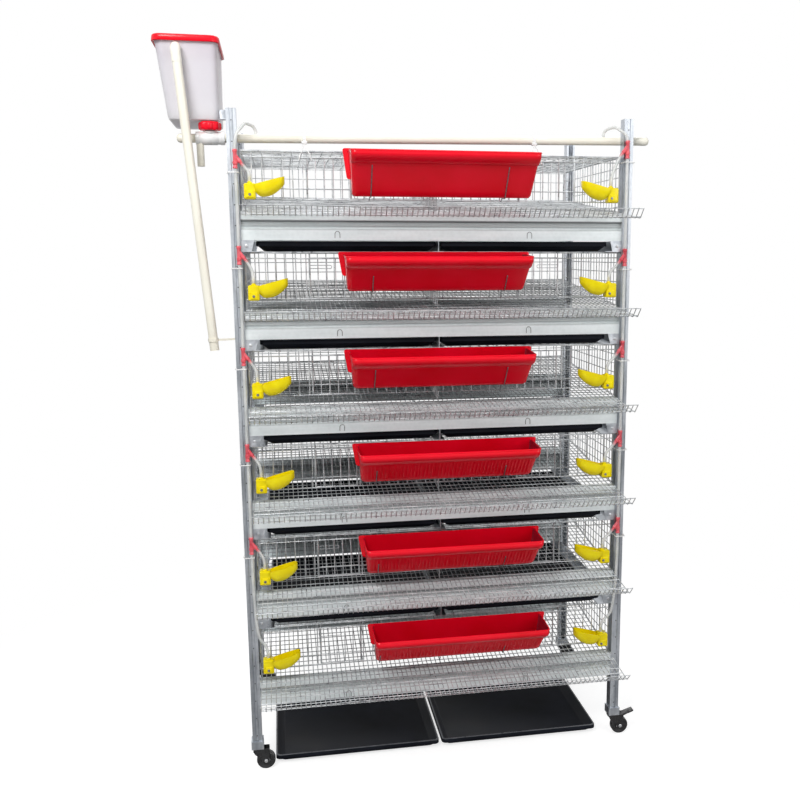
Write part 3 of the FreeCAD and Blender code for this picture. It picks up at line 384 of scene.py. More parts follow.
def upright_net(tier, x):
    """A net that stands on the slope: uprights from floor to top, and level wires across them."""
    y = spaced(front_edge, back_y - 0.002, net_pitch)
    top = tier_z(tier) + 0.2142
    low = placed(x, y, floor_z(tier, y) + 0.003)
    parts = [rods(waver(straight(low, placed(x, y, top), 3), 0.0003), wire_radius)]
    levels = top - np.arange(0, 6) * net_pitch
    reach = (levels - 0.003 - tier_z(tier) - beam_height - 0.0012) / floor_slope + front_y - 0.012
    ends = np.minimum(reach, back_y - 0.002)
    kept = ends > front_edge + 0.02
    starts = placed(x + wire_radius, front_edge, levels[kept])
    stops = placed(x + wire_radius, ends[kept], levels[kept])
    parts.append(rods(waver(straight(starts, stops, 5), 0.0004), wire_radius))
    foot = [(x + wire_radius, y, floor_z(tier, y) + 0.003) for y in (front_edge, back_y - 0.002)]
    parts.append(rods([foot], wire_radius))
    return joined(parts)


wall_parts = []
top_parts = []
partition_parts = []
for tier in range(1, tiers + 1):
    z = tier_z(tier)
    x = spaced(-net_half, net_half, net_pitch)
    low = placed(x, back_y, z + back_foot)
    high = placed(x, back_y, z + back_top)
    wall_parts.append(rods(waver(straight(low, high, 3), 0.0003), wire_radius))
    ends = placed(net_half, back_y + wire_radius, z + back_top - np.arange(6) * back_pitch)
    wall_parts.append(rods(waver(straight(ends * (-1, 1, 1), ends, 7), 0.0005), wire_radius))
    for side in (-1, 1):
        wall_parts.append(upright_net(tier, side * side_x))
    partition_parts.append(upright_net(tier, partition_x))
    low = placed(x, front_edge - 0.002, z + top_level)
    top_parts.append(rods(waver(straight(low, low * (1, -1, 1), 3), 0.0003), wire_radius))
    ends = placed(net_half, spaced(front_edge - 0.001, back_y, net_pitch), z + top_level + 0.0012)
    top_parts.append(rods(sagged(straight(ends * (-1, 1, 1), ends, 7), 0.0007), wire_radius))
piece("wall_nets", *joined(wall_parts), net_zinc, "frame", "cage_walls", angle=60)
piece("top_nets", *joined(top_parts), net_zinc, "frame", "cage_tops", angle=60)
piece("partition_nets", *joined(partition_parts), net_zinc, "frame", "cage_partitions", angle=60)

# The doors: small frames of five bars, hung on the panel's wire by their top wire, with a latch of
# doubled wire that slides over the next bar.
door_levels = (door_wire, panel_sill, 0.101)
for tier in range(1, tiers + 1):
    for name, middle in zip(("left", "right"), door_middles):
        node = "door_%d_%s" % (tier, name)
        low_corner, high_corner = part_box(node)
        y = (low_corner.y + high_corner.y) / 2 - 0.001
        z = tier_z(tier)
        x = spaced(low_corner.x + 0.001, high_corner.x - 0.001, 0.022)
        low = placed(x, y, z + door_levels[-1])
        parts = [rods(straight(low, placed(x, y, z + door_levels[0])), bar_radius)]
        levels = z + np.array(door_levels)
        starts = placed(x[0], y + bar_radius, levels)
        parts.append(rods(straight(starts, placed(x[-1], y + bar_radius, levels), 3), bar_radius))
        side = -1 if name == "left" else 1
        outer = middle + side * (door_width / 2 - 0.002)
        inner = outer - side * 0.052
        turn = np.linspace(-math.pi / 2, math.pi / 2, 7)
        bow_x = inner - side * 0.004 * np.cos(turn)
        bow_z = z + 0.180 + 0.004 * np.sin(turn)
        latch_y = y + 0.0028
        latch = [(outer, latch_y, z + 0.176)]
        latch += [(bx, latch_y, bz) for bx, bz in zip(bow_x, bow_z)]
        latch += [(outer, latch_y, z + 0.184)]
        parts.append(rods([latch], 0.0009))
        piece("barred_" + node, *joined(parts), net_zinc, node, node, angle=60)

# The dung trays: black polypropylene pressings with a rolled rim, slanted walls, small corners and a
# flat, faintly grained floor.
tray_plastic = mottled("tray_plastic", "black_plastic", ((0.010, 0.011, 0.015), 0.42), 7.0,
                       (0.008, 0.009, 0.013), (0.016, 0.018, 0.025), (0.34, 0.50), 0.10,
                       Specular_IOR_Level=0.04)
# The rim's lighter grey is a painted highlight along the top of the rolled rim.
rim_highlight_plastic = mottled("rim_highlight_plastic", "black_plastic", ((0.06, 0.065, 0.08), 0.3), 30.0,
                      (0.04, 0.044, 0.055), (0.09, 0.095, 0.11), (0.24, 0.4), 0.10,
                      Specular_IOR_Level=0.4)


def rounded_ring(x0, y0, x1, y1, radius, per_corner=6):
    """Points round a rectangle whose corners are quarter circles, counter-clockwise."""
    rings = []
    corners = ((x1 - radius, y1 - radius, 0), (x0 + radius, y1 - radius, 1),
               (x0 + radius, y0 + radius, 2), (x1 - radius, y0 + radius, 3))
    for cx, cy, quarter in corners:
        turn = (quarter + np.linspace(0, 1, per_corner)) * math.pi / 2
        rings.append(np.stack([cx + radius * np.cos(turn), cy + radius * np.sin(turn)], 1))
    return np.concatenate(rings)


def capped(rings, flip=False):
    """Points and faces of a skin through rings, closed at both ends; turned inside out by flip."""
    columns = len(rings[0])
    last = (len(rings) - 1) * columns
    faces = grid(len(rings), columns).tolist()
    faces += [list(range(columns))[::-1], list(range(last, last + columns))]
    return np.concatenate(rings), [face[::-1] for face in faces] if flip else faces


def shell(levels, per_corner=6):
    """A closed skin through rounded rectangles, each (x0, y0, x1, y1, radius, z)."""
    rings = []
    for x0, y0, x1, y1, radius, z in levels:
        ring = rounded_ring(x0, y0, x1, y1, radius, per_corner)
        rings.append(placed(ring[:, 0], ring[:, 1], z))
    return capped(rings)


for tier in range(1, tiers + 1):
    for name in ("left", "right"):
        node = "manure_tray_%d_%s" % (tier, name)
        low_corner, high_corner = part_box(node)
        x0, y0, z0 = low_corner
        x1, y1, z1 = high_corner

        def inset(amount, z, radius):
            """The tray's outline drawn in from its box."""
            return (x0 + amount, y0 + amount, x1 - amount, y1 - amount, radius, z)

        levels = [inset(0.020, z0, 0.006), inset(0.0185, z0 + 0.0006, 0.007),
                  inset(0.0065, z1 - 0.0145, 0.010), inset(0.0052, z1 - 0.0128, 0.010),
                  inset(0.0006, z1 - 0.0125, 0.012), inset(0.0, z1 - 0.0118, 0.012),
                  inset(0.0002, z1 - 0.0014, 0.012), inset(0.0012, z1 - 0.0002, 0.011),
                  inset(0.0030, z1, 0.010), inset(0.0048, z1 - 0.0006, 0.010),
                  inset(0.0060, z1 - 0.0022, 0.010), inset(0.0205, z0 + 0.0042, 0.007),
                  inset(0.0235, z0 + 0.0022, 0.006)]
        points, faces = shell(levels)
        made = piece("pressed_" + node, points, faces, tray_plastic, node, node, angle=40)
        made.data.materials.append(rim_highlight_plastic)
        columns = len(points) // len(levels)
        # Painted highlight: the faces of the rim's top take the lighter material.
        rim_highlight_faces = np.zeros(len(faces), np.int32)
        rim_highlight_faces[6 * columns:9 * columns] = 1
        made.data.polygons.foreach_set("material_index", rim_highlight_faces)

# The feed troughs: glossy red polypropylene mouldings with a bulged band under the rim, ribs on the
# slanted front, and a winged back plate; they hang on the front and lift out.
trough_red = mottled("trough_red", "red_plastic", ((0.84, 0.001, 0.016), 0.2), 9.0,
                     (0.80, 0.001, 0.012), (0.88, 0.002, 0.020), (0.17, 0.25), 0.03,
                     Specular_IOR_Level=0.27)
# The inside's darker red is painted shade inside the trough, together with a rougher, duller finish.
shaded_inner_red = mottled("shaded_inner_red", "red_plastic", ((0.30, 0.005, 0.020), 0.38), 14.0,
                    (0.26, 0.004, 0.018), (0.36, 0.007, 0.026), (0.32, 0.46), 0.06,
                    Specular_IOR_Level=0.45)
trough_tilt = math.radians(3.0)
trough_opening = 0.112
trough_foot = 0.036
trough_rim_length = 0.468
trough_foot_length = 0.453
trough_wall = 0.002
trough_band = 0.005
rib_depth = 0.0024
rib_pitch = 0.0092


def trough_surface(height, ribbed):
    """A trough upright at its own place: rings from foot to rim outside, then down inside.

    The front and the ends lean out from the foot by one share of the height. At the shoulder a band
    steps out and rounds over by a sine to the rim, whose edge is a small bead. On the lower tiers
    the slanted front has upright ribs, a cosine raised to a power. The inner faces' numbers come too.
    """
    shoulder = height - 0.032
    outer = [0.0, 0.0012, 0.006, 0.014, shoulder * 0.5, shoulder - 0.006, shoulder - 0.001, shoulder,
             shoulder + 0.001, shoulder + 0.0022, shoulder + 0.004]
    outer += list(np.linspace(shoulder + 0.008, height - 0.0042, 7))
    outer += [height - 0.0030, height - 0.0026, height - 0.0008, height]
    columns_x = np.linspace(-1, 1, 301 if ribbed else 61)

    def ring(z, inset):
        """The trough's outline at a height, drawn in by a wall."""
        share = z / height
        depth = trough_foot + (trough_opening - trough_band - trough_foot) * share
        length = trough_foot_length + (trough_rim_length - trough_foot_length) * share
        if z > shoulder:
            rise = (z - shoulder) / (height - shoulder)
            step = trough_band * math.sin(min(rise / 0.12, 1) * math.pi / 2)
            start = trough_foot + (trough_opening - trough_band - trough_foot) * shoulder / height
            bulge = trough_opening + 0.0015 - start - trough_band
            depth = start + step + bulge * math.sin(2.2 * rise)
            length += 0.3 * step
            if z > height - 0.0028 and inset == 0:
                depth += 0.0010
                length += 0.0020
        tuck = 0.0
        if z < 0.006:
            tuck = 0.004 * (1 - z / 0.006) ** 2
        half = length / 2 - inset - tuck
        front = -depth + inset + tuck
        back = -inset
        radius = 0.012 if inset == 0 else 0.010
        front_x = columns_x * (half - radius)
        rib = 0.0
        if ribbed and inset == 0 and 0.010 < z < shoulder - 0.003:
            rib = -rib_depth * np.clip(np.cos(front_x * 2 * math.pi / rib_pitch), 0, 1) ** 4
        turn = np.linspace(-math.pi / 2, 0, 7)
        bend_x = half - radius + radius * np.cos(turn)
        bend_y = front + radius + radius * np.sin(turn)
        heel_x = np.array([half, half - 0.003])
        heel_y = np.array([back - 0.003, back])
        return np.concatenate([
            placed(front_x, front + rib, z), placed(bend_x[1:], bend_y[1:], z),
            placed(heel_x, heel_y, z), placed(front_x[::-1], back, z),
            placed(-heel_x[::-1], heel_y[::-1], z), placed(-bend_x[:0:-1], bend_y[:0:-1], z)])

    rows = [ring(z, 0.0) for z in outer]
    rows.append((ring(height, 0.0) + ring(height, trough_wall)) / 2 + (0, 0, 0.0006))
    rows += [ring(max(z, trough_wall), trough_wall) for z in outer[::-1]]
    columns = len(rows[0])
    inner = np.arange((len(outer) + 1) * columns, (len(rows) - 1) * columns)
    return capped(rows), np.append(inner, (len(rows) - 1) * columns + 1)


def wing_plate(height):
    """The back plate with its two wings: a rounded sheet with softened edges, narrower at its foot."""
    half = trough_rim_length / 2 + 0.014
    low = height + 0.006 - (0.075 if height > 0.1 else 0.060)
    high = height + 0.006
    outline = rounded_ring(-half, low, half, high, 0.006, 4)
    narrow = (outline[:, 1] - low) / (high - low)
    outline[:, 0] *= 0.958 + 0.042 * narrow
    rows = []
    for y, shrink in ((0.0, 0.0008), (-0.0006, 0.0), (-0.0016, 0.0), (-0.0022, 0.0008)):
        rows.append(placed(outline[:, 0] * (1 - shrink / half), y, outline[:, 1]))
    return capped(rows)


for tier in range(1, tiers + 1):
    node = "feed_trough_%d" % tier
    low_corner, high_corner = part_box(node)
    height = 0.110 if tier == 1 else 0.090
    surface, inner = trough_surface(height, tier > 3)
    points, faces = joined([surface, wing_plate(height)])
    cos, sin = math.cos(trough_tilt), math.sin(trough_tilt)
    y = points[:, 1] * cos - points[:, 2] * sin
    z = points[:, 1] * sin + points[:, 2] * cos
    top = (height + 0.006) * cos
    points[:, 0] += (low_corner.x + high_corner.x) / 2
    points[:, 1] = front_y - 0.014 + y
    points[:, 2] = high_corner.z - top + z
    made = piece("moulded_" + node, points, faces, trough_red, node, node, angle=40)
    made.data.materials.append(shaded_inner_red)
    # Painted shade: the inner faces take the darker, duller red.
    dull_and_shaded = np.zeros(len(faces), np.int32)
    dull_and_shaded[inner] = 1
    made.data.polygons.foreach_set("material_index", dull_and_shaded)

# The holders under the troughs: darkened steel wire with a ball tip, pushed through the panel's foot
# wire.
dark_steel = mottled("dark_steel", "galvanised", ((0.25, 0.25, 0.26), 0.35, 1.0), 200.0,
                     (0.18, 0.18, 0.19), (0.36, 0.36, 0.37), (0.28, 0.45))
dress("trough_hooks", dark_steel)

# The drinker cups: yellow moulded bowls that tip on a pin, each on a block with a hose barb.
# The bowl is a scoop that rises to a blunt tip, and a steel screw holds the block.
cup_yellow = mottled("cup_yellow", "yellow_plastic", ((0.94, 0.77, 0.0), 0.22), 40.0,
                     (0.90, 0.72, 0.0), (0.97, 0.82, 0.003), (0.18, 0.28), 0.05,
                     Specular_IOR_Level=0.35)
cup_foot = 0.098
cup_x = {-1: 0.481, 1: 0.475}
cup_barb = {-1: 0.014, 1: 0.020}
cup_middle_y = front_y - 0.0225
hose_y = front_y - 0.025


def scoop():
    """Outer and inner skin of a bowl: half ovals under a rising edge, from the block to the tip.

    The keel stays level and then rises by a power of the length; the width swells by a sine and
    rounds off at the tip by a square root.
    """
    along = np.linspace(0, 1, 22)[:, None]
    around = np.linspace(0, math.pi, 19)[None, :]
    skins = []
    for inset in (0.0, 0.0018):
        top = 0.036 + 0.019 * along + 0 * around
        keel = 0.006 + 0.013 * (1 - along / 0.25).clip(0, 1) ** 2
        keel = keel + 0.031 * ((along - 0.25) / 0.75).clip(0, 1) ** 2.2
        width = 0.0205 * (0.74 + 0.26 * np.sin(math.pi * (0.15 + 0.72 * along)))
        width *= np.sqrt(1 - 0.75 * ((along.clip(0.86, 1) - 0.86) / 0.14) ** 2)
        x = 0.026 + 0.072 * along + 0 * around
        if inset:
            x = x - inset * along
        y = (width - inset) * np.cos(around)
        depth = top - keel - inset
        z = top - depth * np.sin(around) ** 0.75
        skins.append(np.stack([x, y, z], 2))
    outer, inner = skins
    columns = outer.shape[1]
    rows = len(outer)
    count = rows * columns
    skin = grid(rows, columns, closed=False)
    faces = skin[:, ::-1].tolist() + (skin + count).tolist()
    for column in (0, columns - 1):
        edge = [row * columns + column for row in range(rows)]
        for a, b in zip(edge, edge[1:]):
            rim = [a, b, b + count, a + count]
            faces.append(rim if column else rim[::-1])
    for first, step in ((0, 1), (count - columns, -1), (count, -1), (2 * count - columns, 1)):
        faces.append(list(range(first, first + columns))[::step])
    return np.concatenate([outer.reshape(-1, 3), inner.reshape(-1, 3)]), faces


def lathe(profile, sides=20):
    """A turned form round Z: each (radius, height) of the profile becomes a ring, the ends closed."""
    turn = np.arange(sides) * 2 * math.pi / sides
    return capped([placed(r * np.cos(turn), r * np.sin(turn), h) for r, h in profile])


def turned(part, kind):
    """The same part with Z laid along another axis: x, y or -y."""
    points, faces = part
    if kind == "x":
        return points[:, [2, 0, 1]], faces
    if kind == "y":
        return points[:, [1, 2, 0]], faces
    flipped = points[:, [1, 2, 0]] * (1, -1, 1)
    return flipped, [face[::-1] for face in faces]


def moved(part, x, y, z, mirror=1):
    """The part shifted, and turned over in X first where mirror is -1."""
    points, faces = part
    if mirror < 0:
        faces = [face[::-1] for face in faces]
    return points * (mirror, 1, 1) + (x, y, z), faces


def soft_block(x0, y0, z0, x1, y1, z1, radius):
    """A box with round upright edges and a chamfer round its foot and head."""
    c = radius * 0.6
    levels = [(x0 + c, y0 + c, x1 - c, y1 - c, radius, z0), (x0, y0, x1, y1, radius, z0 + c),
              (x0, y0, x1, y1, radius, z1 - c), (x0 + c, y0 + c, x1 - c, y1 - c, radius, z1)]
    return shell(levels, 4)


barb_profile = [(0.0036, 0.0), (0.0036, 0.003), (0.0024, 0.0031), (0.0033, 0.0045), (0.0025, 0.0075),
                (0.0033, 0.0076), (0.0024, 0.0118), (0.0020, 0.0125)]
screw_profile = [(0.0034, 0.0), (0.0036, 0.0006), (0.0030, 0.0016), (0.0012, 0.0018)]
cup_parts = []
screw_parts = []
for tier in range(1, tiers + 1):
    for side in (-1, 1):
        z = tier_z(tier) + cup_foot
        outer_x = side * cup_x[side]
        flip = -side
        barb_x = outer_x + flip * cup_barb[side]
        cup_parts.append(moved(scoop(), outer_x, cup_middle_y, z, flip))
        block = soft_block(0.0, -0.013, 0.0, 0.028, 0.0205, 0.038, 0.004)
        cup_parts.append(moved(block, outer_x, front_y - 0.0215, z, flip))
        seat = soft_block(-0.006, -0.007, 0.037, 0.006, 0.007, 0.0418, 0.003)
        cup_parts.append(moved(seat, barb_x, hose_y, z))
        ear = soft_block(0.004, -0.0155, 0.004, 0.024, -0.0125, 0.020, 0.0025)
        cup_parts.append(moved(ear, outer_x, front_y - 0.0215, z, flip))
        cup_parts.append(moved(lathe(barb_profile, 16), barb_x, hose_y, z + 0.0415))
        screw_parts.append(moved(turned(lathe(screw_profile, 14), "-y"), barb_x, front_y - 0.0368,
                                 z + 0.011))
piece("yellow_cups", *joined(cup_parts), cup_yellow, "frame", "drinker_cups", angle=40)
piece("cup_screws", *joined(screw_parts), dark_steel, "frame")

# The tees in the hose: injection-moulded, a pinkish red that lets light through, with barbed ends and
# a collared branch that slants down to the cup.
tee_pink = mottled("tee_pink", "tee_plastic", ((0.78, 0.10, 0.13), 0.3), 60.0,
                   (0.70, 0.07, 0.10), (0.86, 0.16, 0.19), (0.25, 0.4),
                   Subsurface_Weight=0.15, Subsurface_Scale=0.004)
tee_feet = {-1: (0.170, 0.186, 0.182, 0.182, 0.182), 1: (0.211, 0.180, 0.182, 0.182, 0.182)}
tee_height = 0.046
branch_root = 0.032
branch_tip = 0.005
branch_reach = 0.020
branch_length = math.hypot(branch_reach, branch_root - branch_tip)
hose_x = 0.499
tee_profile = [(0.0046, 0.0), (0.0058, 0.001), (0.0058, 0.004), (0.0047, 0.0055), (0.0047, 0.009),
               (0.0060, 0.0105), (0.0060, 0.0175), (0.0047, 0.019), (0.0047, 0.038), (0.0058, 0.0405),
               (0.0058, 0.0445), (0.0046, 0.046)]
branch_profile = [(0.0046, 0.0), (0.0046, 0.014), (0.0052, 0.0155), (0.0052, 0.0195),
                  (0.0040, 0.0205), (0.0038, 0.0250), (0.0043, 0.0252), (0.0036, 0.0290),
                  (0.0042, 0.0292), (0.0032, 0.0336)]


def slanted(part, side):
    """The part's Z laid along a branch: down and towards the cage's middle by the branch's slope."""
    points, faces = part
    across = side * branch_reach / branch_length
    down = (branch_root - branch_tip) / branch_length
    x = points[:, 0] * down - points[:, 2] * across
    z = -points[:, 0] * across - points[:, 2] * down
    return np.stack([x, points[:, 1], z], 1), [face[::-1] for face in faces]


tee_parts = []
for side in (-1, 1):
    for tier, foot in enumerate(tee_feet[side], start=1):
        z = tier_z(tier) + foot
        tee_parts.append(moved(lathe(tee_profile), side * hose_x, hose_y, z))
        branch = slanted(lathe(branch_profile), side)
        tee_parts.append(moved(branch, side * hose_x, hose_y, z + branch_root))
piece("pink_tees", *joined(tee_parts), tee_pink, "frame", "hose_tees", angle=40)

# The water hoses: soft clear tubing pushed over the barbs of tees and cups, slightly yellowed. One
# runs down each front post in stretches, and a short one curves from each tee to its cup.
hose_clear = mottled("hose_clear", "hose_plastic", ((0.80, 0.82, 0.80), 0.25), 30.0,
                     (0.70, 0.73, 0.72), (0.88, 0.89, 0.87), (0.2, 0.35), Alpha=0.62)
hose_radius = 0.0040
hose_tap_x = 0.448
hose_overlap = 0.0085
pipe_radius = 0.011
pipe_y = front_y + 0.0263
pipe_height = 1.668
pipe_rise = 0.0145


def pipe_z(x):
    """Height of the supply pipe's axis: a slight rise to the right."""
    return pipe_height + pipe_rise * x


def drawn(points, per_span=7):
    """A smooth line near its points: parabolas between the middles of neighbouring spans."""
    points = np.array(points, float)
    middles = (points[1:] + points[:-1]) / 2
    middles[0], middles[-1] = points[0], points[-1]
    share = np.linspace(0, 1, per_span)[:, None]
    line = [points[:1]]
    for before, corner, after in zip(middles[:-1], points[1:-1], middles[1:]):
        curve = (1 - share) ** 2 * before + 2 * share * (1 - share) * corner + share ** 2 * after
        line.append(curve[1:])
    return np.concatenate(line)


def barb_place(tier, side):
    """Foot of a cup's hose barb."""
    return side * cup_x[side] - side * cup_barb[side], tier_z(tier) + cup_foot + 0.0425


hose_parts = []
for side in (-1, 1):
    x = side * hose_x
    start_z = pipe_z(side * hose_tap_x) + pipe_radius
    feet = [tier_z(tier) + foot for tier, foot in enumerate(tee_feet[side], start=1)]
    top = feet[0] + tee_height
    tap = side * hose_tap_x
    routes = [[(tap, pipe_y, start_z), (tap, pipe_y, start_z + 0.016),
               (tap + side * 0.024, front_y + 0.0023, start_z + 0.024),
               (x - side * 0.020, hose_y + 0.008, start_z + 0.014),
               (x, hose_y, max(start_z - 0.010, top + 0.012)), (x, hose_y, top - hose_overlap)]]
    for upper, lower in zip(feet, feet[1:]):
        bow = hose_y - 0.0008
        routes.append([(x, hose_y, upper + hose_overlap),
                       (x - side * 0.0010, bow, (upper + lower + tee_height) / 2),
                       (x, hose_y, lower + tee_height - hose_overlap)])
    for tier, foot in enumerate(feet, start=1):
        barb_x, barb_z = barb_place(tier, side)
        ahead = (branch_length + np.array([-0.009, 0.006])) / branch_length
        route = [(x - side * branch_reach * share, hose_y,
                  foot + branch_root - share * (branch_root - branch_tip)) for share in ahead]
        routes.append(route + [(barb_x, hose_y, barb_z + 0.024), (barb_x, hose_y, barb_z + 0.001)])
    barb_x, barb_z = barb_place(tiers, side)
    routes.append([(x, hose_y, feet[-1] + hose_overlap), (x, hose_y, barb_z + 0.060),
                   (barb_x, hose_y, barb_z + 0.034), (barb_x, hose_y, barb_z + 0.001)])
    hose_parts += [rods([drawn(route)], hose_radius, 12) for route in routes]
piece("clear_hoses", *joined(hose_parts), hose_clear, "frame", "water_hoses", angle=60)

# The supply pipe: cream PVC water pipe, closed by a domed cap at each end, tied behind the front
# posts and fed through a white tee under the tank; two white hangers clip it to the top tier.
pipe_cream = mottled("pipe_cream", "cream_plastic", ((0.89, 0.86, 0.75), 0.3), 6.0,
                     (0.86, 0.82, 0.70), (0.92, 0.90, 0.80), (0.24, 0.4), 0.03)
white_plastic = mottled("white_plastic", "cream_plastic", ((0.84, 0.84, 0.83), 0.3), 50.0,
                        (0.78, 0.78, 0.78), (0.90, 0.90, 0.89), (0.25, 0.4))
pipe_ends = (-0.637, 0.575)

turn = np.linspace(0, math.pi / 2, 6)
cap_start = [(pipe_radius * math.sin(t), -0.010 * math.cos(t)) for t in turn]
half_length = (pipe_ends[1] - pipe_ends[0]) / 2
profile = [(max(r, 0.0004), 0.010 + h) for r, h in cap_start]
profile += [(pipe_radius, 0.022), (pipe_radius - 0.0004, 0.0225),
            (pipe_radius - 0.0004, 2 * half_length - 0.0225), (pipe_radius, 2 * half_length - 0.022)]
profile += [(r, 2 * half_length - h) for r, h in profile[:6][::-1]]
points, faces = turned(lathe(profile, 28), "x")
points = points + (pipe_ends[0], pipe_y, 0)
points[:, 2] += pipe_z(points[:, 0])
piece("long_pipe", points, faces, pipe_cream, "frame", "supply_pipe", angle=50)

outlet_x = -0.557
sleeve_profile = [(0.0125, 0.0), (0.0158, 0.0008), (0.0160, 0.010), (0.0150, 0.0112), (0.0150, 0.0170),
                  (0.0160, 0.0185), (0.0160, 0.0515), (0.0150, 0.0530), (0.0150, 0.0588),
                  (0.0160, 0.0600), (0.0158, 0.0692), (0.0125, 0.0700)]
points, faces = turned(lathe(sleeve_profile, 28), "x")
points = points + (-0.592, pipe_y, 0)
points[:, 2] += pipe_z(points[:, 0])
neck_z = pipe_z(outlet_x)
neck = moved(lathe([(0.0135, 0.004), (0.0135, 0.0115), (0.0172, 0.0125), (0.0172, 0.0155),
                    (0.0130, 0.0165)], 28), outlet_x, pipe_y, neck_z)
piece("outlet_tee", *joined([(points, faces), neck]), white_plastic, "frame", angle=40)

stub_x = -0.582
stub_z = pipe_z(stub_x) - 0.012
stub = [(0.0070, 1.5936), (0.0080, 1.5935), (0.0088, 1.593), (0.0090, 1.5936), (0.0090, stub_z),
        (0.0050, stub_z), (0.0050, 1.640), (0.0070, 1.639)]


def looped(rings):
    """Points and faces of a skin through rings whose last joins up with the first, as in a tube."""
    columns = len(rings[0])
    faces = grid(len(rings) + 1, columns) % (len(rings) * columns)
    return np.concatenate(rings), faces.tolist()


turn = np.arange(24) * 2 * math.pi / 24
rings = [placed(stub_x + r * np.cos(turn), pipe_y + r * np.sin(turn), z) for r, z in stub]
piece("drain_stub", *looped(rings), pipe_cream, "frame", angle=40)

hanger_parts = []
hanger_hook = (1.6235, 1.6115)
for x in (-0.331, 0.258):
    z = pipe_z(x)
    band = turned(lathe([(0.0114, 0.0), (0.0128, 0.0006), (0.0128, 0.0084), (0.0114, 0.009)], 24), "x")
    hanger_parts.append(moved(band, x - 0.0045, pipe_y, z))
    saddle = soft_block(-0.007, -0.0155, -0.014, 0.007, -0.009, -0.006, 0.002)
    hanger_parts.append(moved(saddle, x, pipe_y, z))
    for part in (-0.015, 0.015):
        leg = [(x, pipe_y - 0.0118, z - 0.010), (x + part * 0.55, front_y - 0.0010, z - 0.034),
               (x + part * 0.8, front_y - 0.0014, hanger_hook[0]),
               (x + part, front_y - 0.0018, hanger_hook[1])]
        hanger_parts.append(rods([leg], 0.0013, 8))
        tip = lathe([(0.0006, -0.0022), (0.0019, -0.001), (0.0019, 0.001), (0.0006, 0.0022)], 10)
        hanger_parts.append(moved(tip, x + part, front_y - 0.0018, hanger_hook[1]))
piece("pipe_hangers", *joined(hanger_parts), white_plastic, "frame", angle=50)

# The water tank: a milky blow-moulded tub with rounded corners and slightly bowed walls, its outlet
# spigot in the floor, screwed to the left post through a small steel bracket.
tank_milk = mottled("tank_milk", "milky_plastic", ((0.88, 0.85, 0.90), 0.38), 5.0,
                    (0.82, 0.79, 0.86), (0.92, 0.91, 0.93), (0.3, 0.5), 0.05, Alpha=0.60)
tank_front = front_y - 0.010
tank_back = front_y + 0.220
tank_foot = 1.700
tank_rim = 1.880


def tank_level(share, inset, z, radius):
    """Outline of the tub at a share of its height, drawn in by a wall."""
    x0 = -0.653 - 0.022 * share + inset
    x1 = -0.533 + 0.002 * share - inset
    y0 = tank_front + 0.014 * (1 - share) + inset
    y1 = tank_back - 0.014 * (1 - share) - inset
    return (x0, y0, x1, y1, radius, z)


levels = [tank_level(0, 0.006, tank_foot, 0.012), tank_level(0, 0.0015, tank_foot + 0.0015, 0.015),
          tank_level(0, 0.0, tank_foot + 0.006, 0.016)]
for share in np.linspace(0.06, 0.97, 8):
    levels.append(tank_level(share, 0.0, tank_foot + (tank_rim - tank_foot) * share,
                             0.016 + 0.004 * share))
levels += [tank_level(0.97, -0.0012, tank_rim - 0.005, 0.021),
           tank_level(1, -0.0012, tank_rim - 0.0008, 0.021),
           tank_level(1, 0.0015, tank_rim - 0.0002, 0.020),
           tank_level(1, 0.0025, tank_rim - 0.001, 0.018)]
for share in np.linspace(0.97, 0.03, 8):
    levels.append(tank_level(share, 0.0025, tank_foot + (tank_rim - tank_foot) * share, 0.014))
levels.append(tank_level(0, 0.006, tank_foot + 0.0026, 0.010))
tub = shell(levels, 8)
spigot = moved(lathe([(0.0105, -0.0228), (0.0130, -0.0225), (0.0130, -0.001), (0.018, 0.0)], 28),
               outlet_x, pipe_y, tank_foot)
piece("milky_tank", *joined([tub, spigot]), tank_milk, "frame", "water_tank", angle=50)
plate = soft_block(-0.5325, tank_front + 0.0145, 1.7025, -0.5176, tank_front + 0.0335, 1.7255, 0.0015)
piece("tank_bracket", *plate, rail_zinc, "frame")

# The tank's lid: a shallow red cover with rounded corners and a short skirt round the rim.
lid_low, lid_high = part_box("tank_lid")


def lid_level(inset, z, radius):
    """Outline of the lid drawn in from its box."""
    return (lid_low.x + inset, lid_low.y + inset, lid_high.x - inset, lid_high.y - inset, radius, z)


foot = lid_low.z
head = lid_high.z
levels = [lid_level(*level) for level in (
    (0.0058, tank_rim + 0.0004, 0.019), (0.0056, foot + 0.0006, 0.019), (0.0046, foot, 0.020),
    (0.0006, foot, 0.024), (0.0, foot + 0.0008, 0.024), (0.0008, head - 0.006, 0.024),
    (0.0016, head - 0.003, 0.023), (0.0038, head - 0.0008, 0.021), (0.008, head, 0.018),
    (0.016, head - 0.0002, 0.014), (0.019, head - 0.0018, 0.012))]
piece("red_lid", *shell(levels, 8), trough_red, "tank_lid", "tank_lid", angle=50)

# The outlet nut: a red moulded hand nut with grip lobes, run up under the tank's floor.
nut_low, nut_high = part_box("tank_valve_knob")
nut_x = (nut_low.x + nut_high.x) / 2
nut_y = (nut_low.y + nut_high.y) / 2
turn = np.arange(96) * 2 * math.pi / 96
lobes = 0.5 + 0.5 * np.cos(turn * 8)
rows = []
for radius, height, depth in (
        (0.0136, 0.0, 0.0), (0.0240, 0.0, 0.3), (0.0268, 0.0022, 1.0), (0.0276, 0.005, 1.0),
        (0.0276, 0.0145, 1.0), (0.0262, 0.0175, 0.8), (0.0225, 0.0196, 0.2),
        (0.0160, 0.0200, 0.0), (0.0136, 0.0200, 0.0)):
    reach = radius * (1 - 0.11 * depth * (1 - lobes) ** 2)
    rows.append(placed(nut_x + reach * np.cos(turn), nut_y + reach * np.sin(turn),
                       nut_low.z + height))
piece("red_nut", *looped(rows), trough_red, "tank_valve_knob", "tank_valve_knob", angle=40)

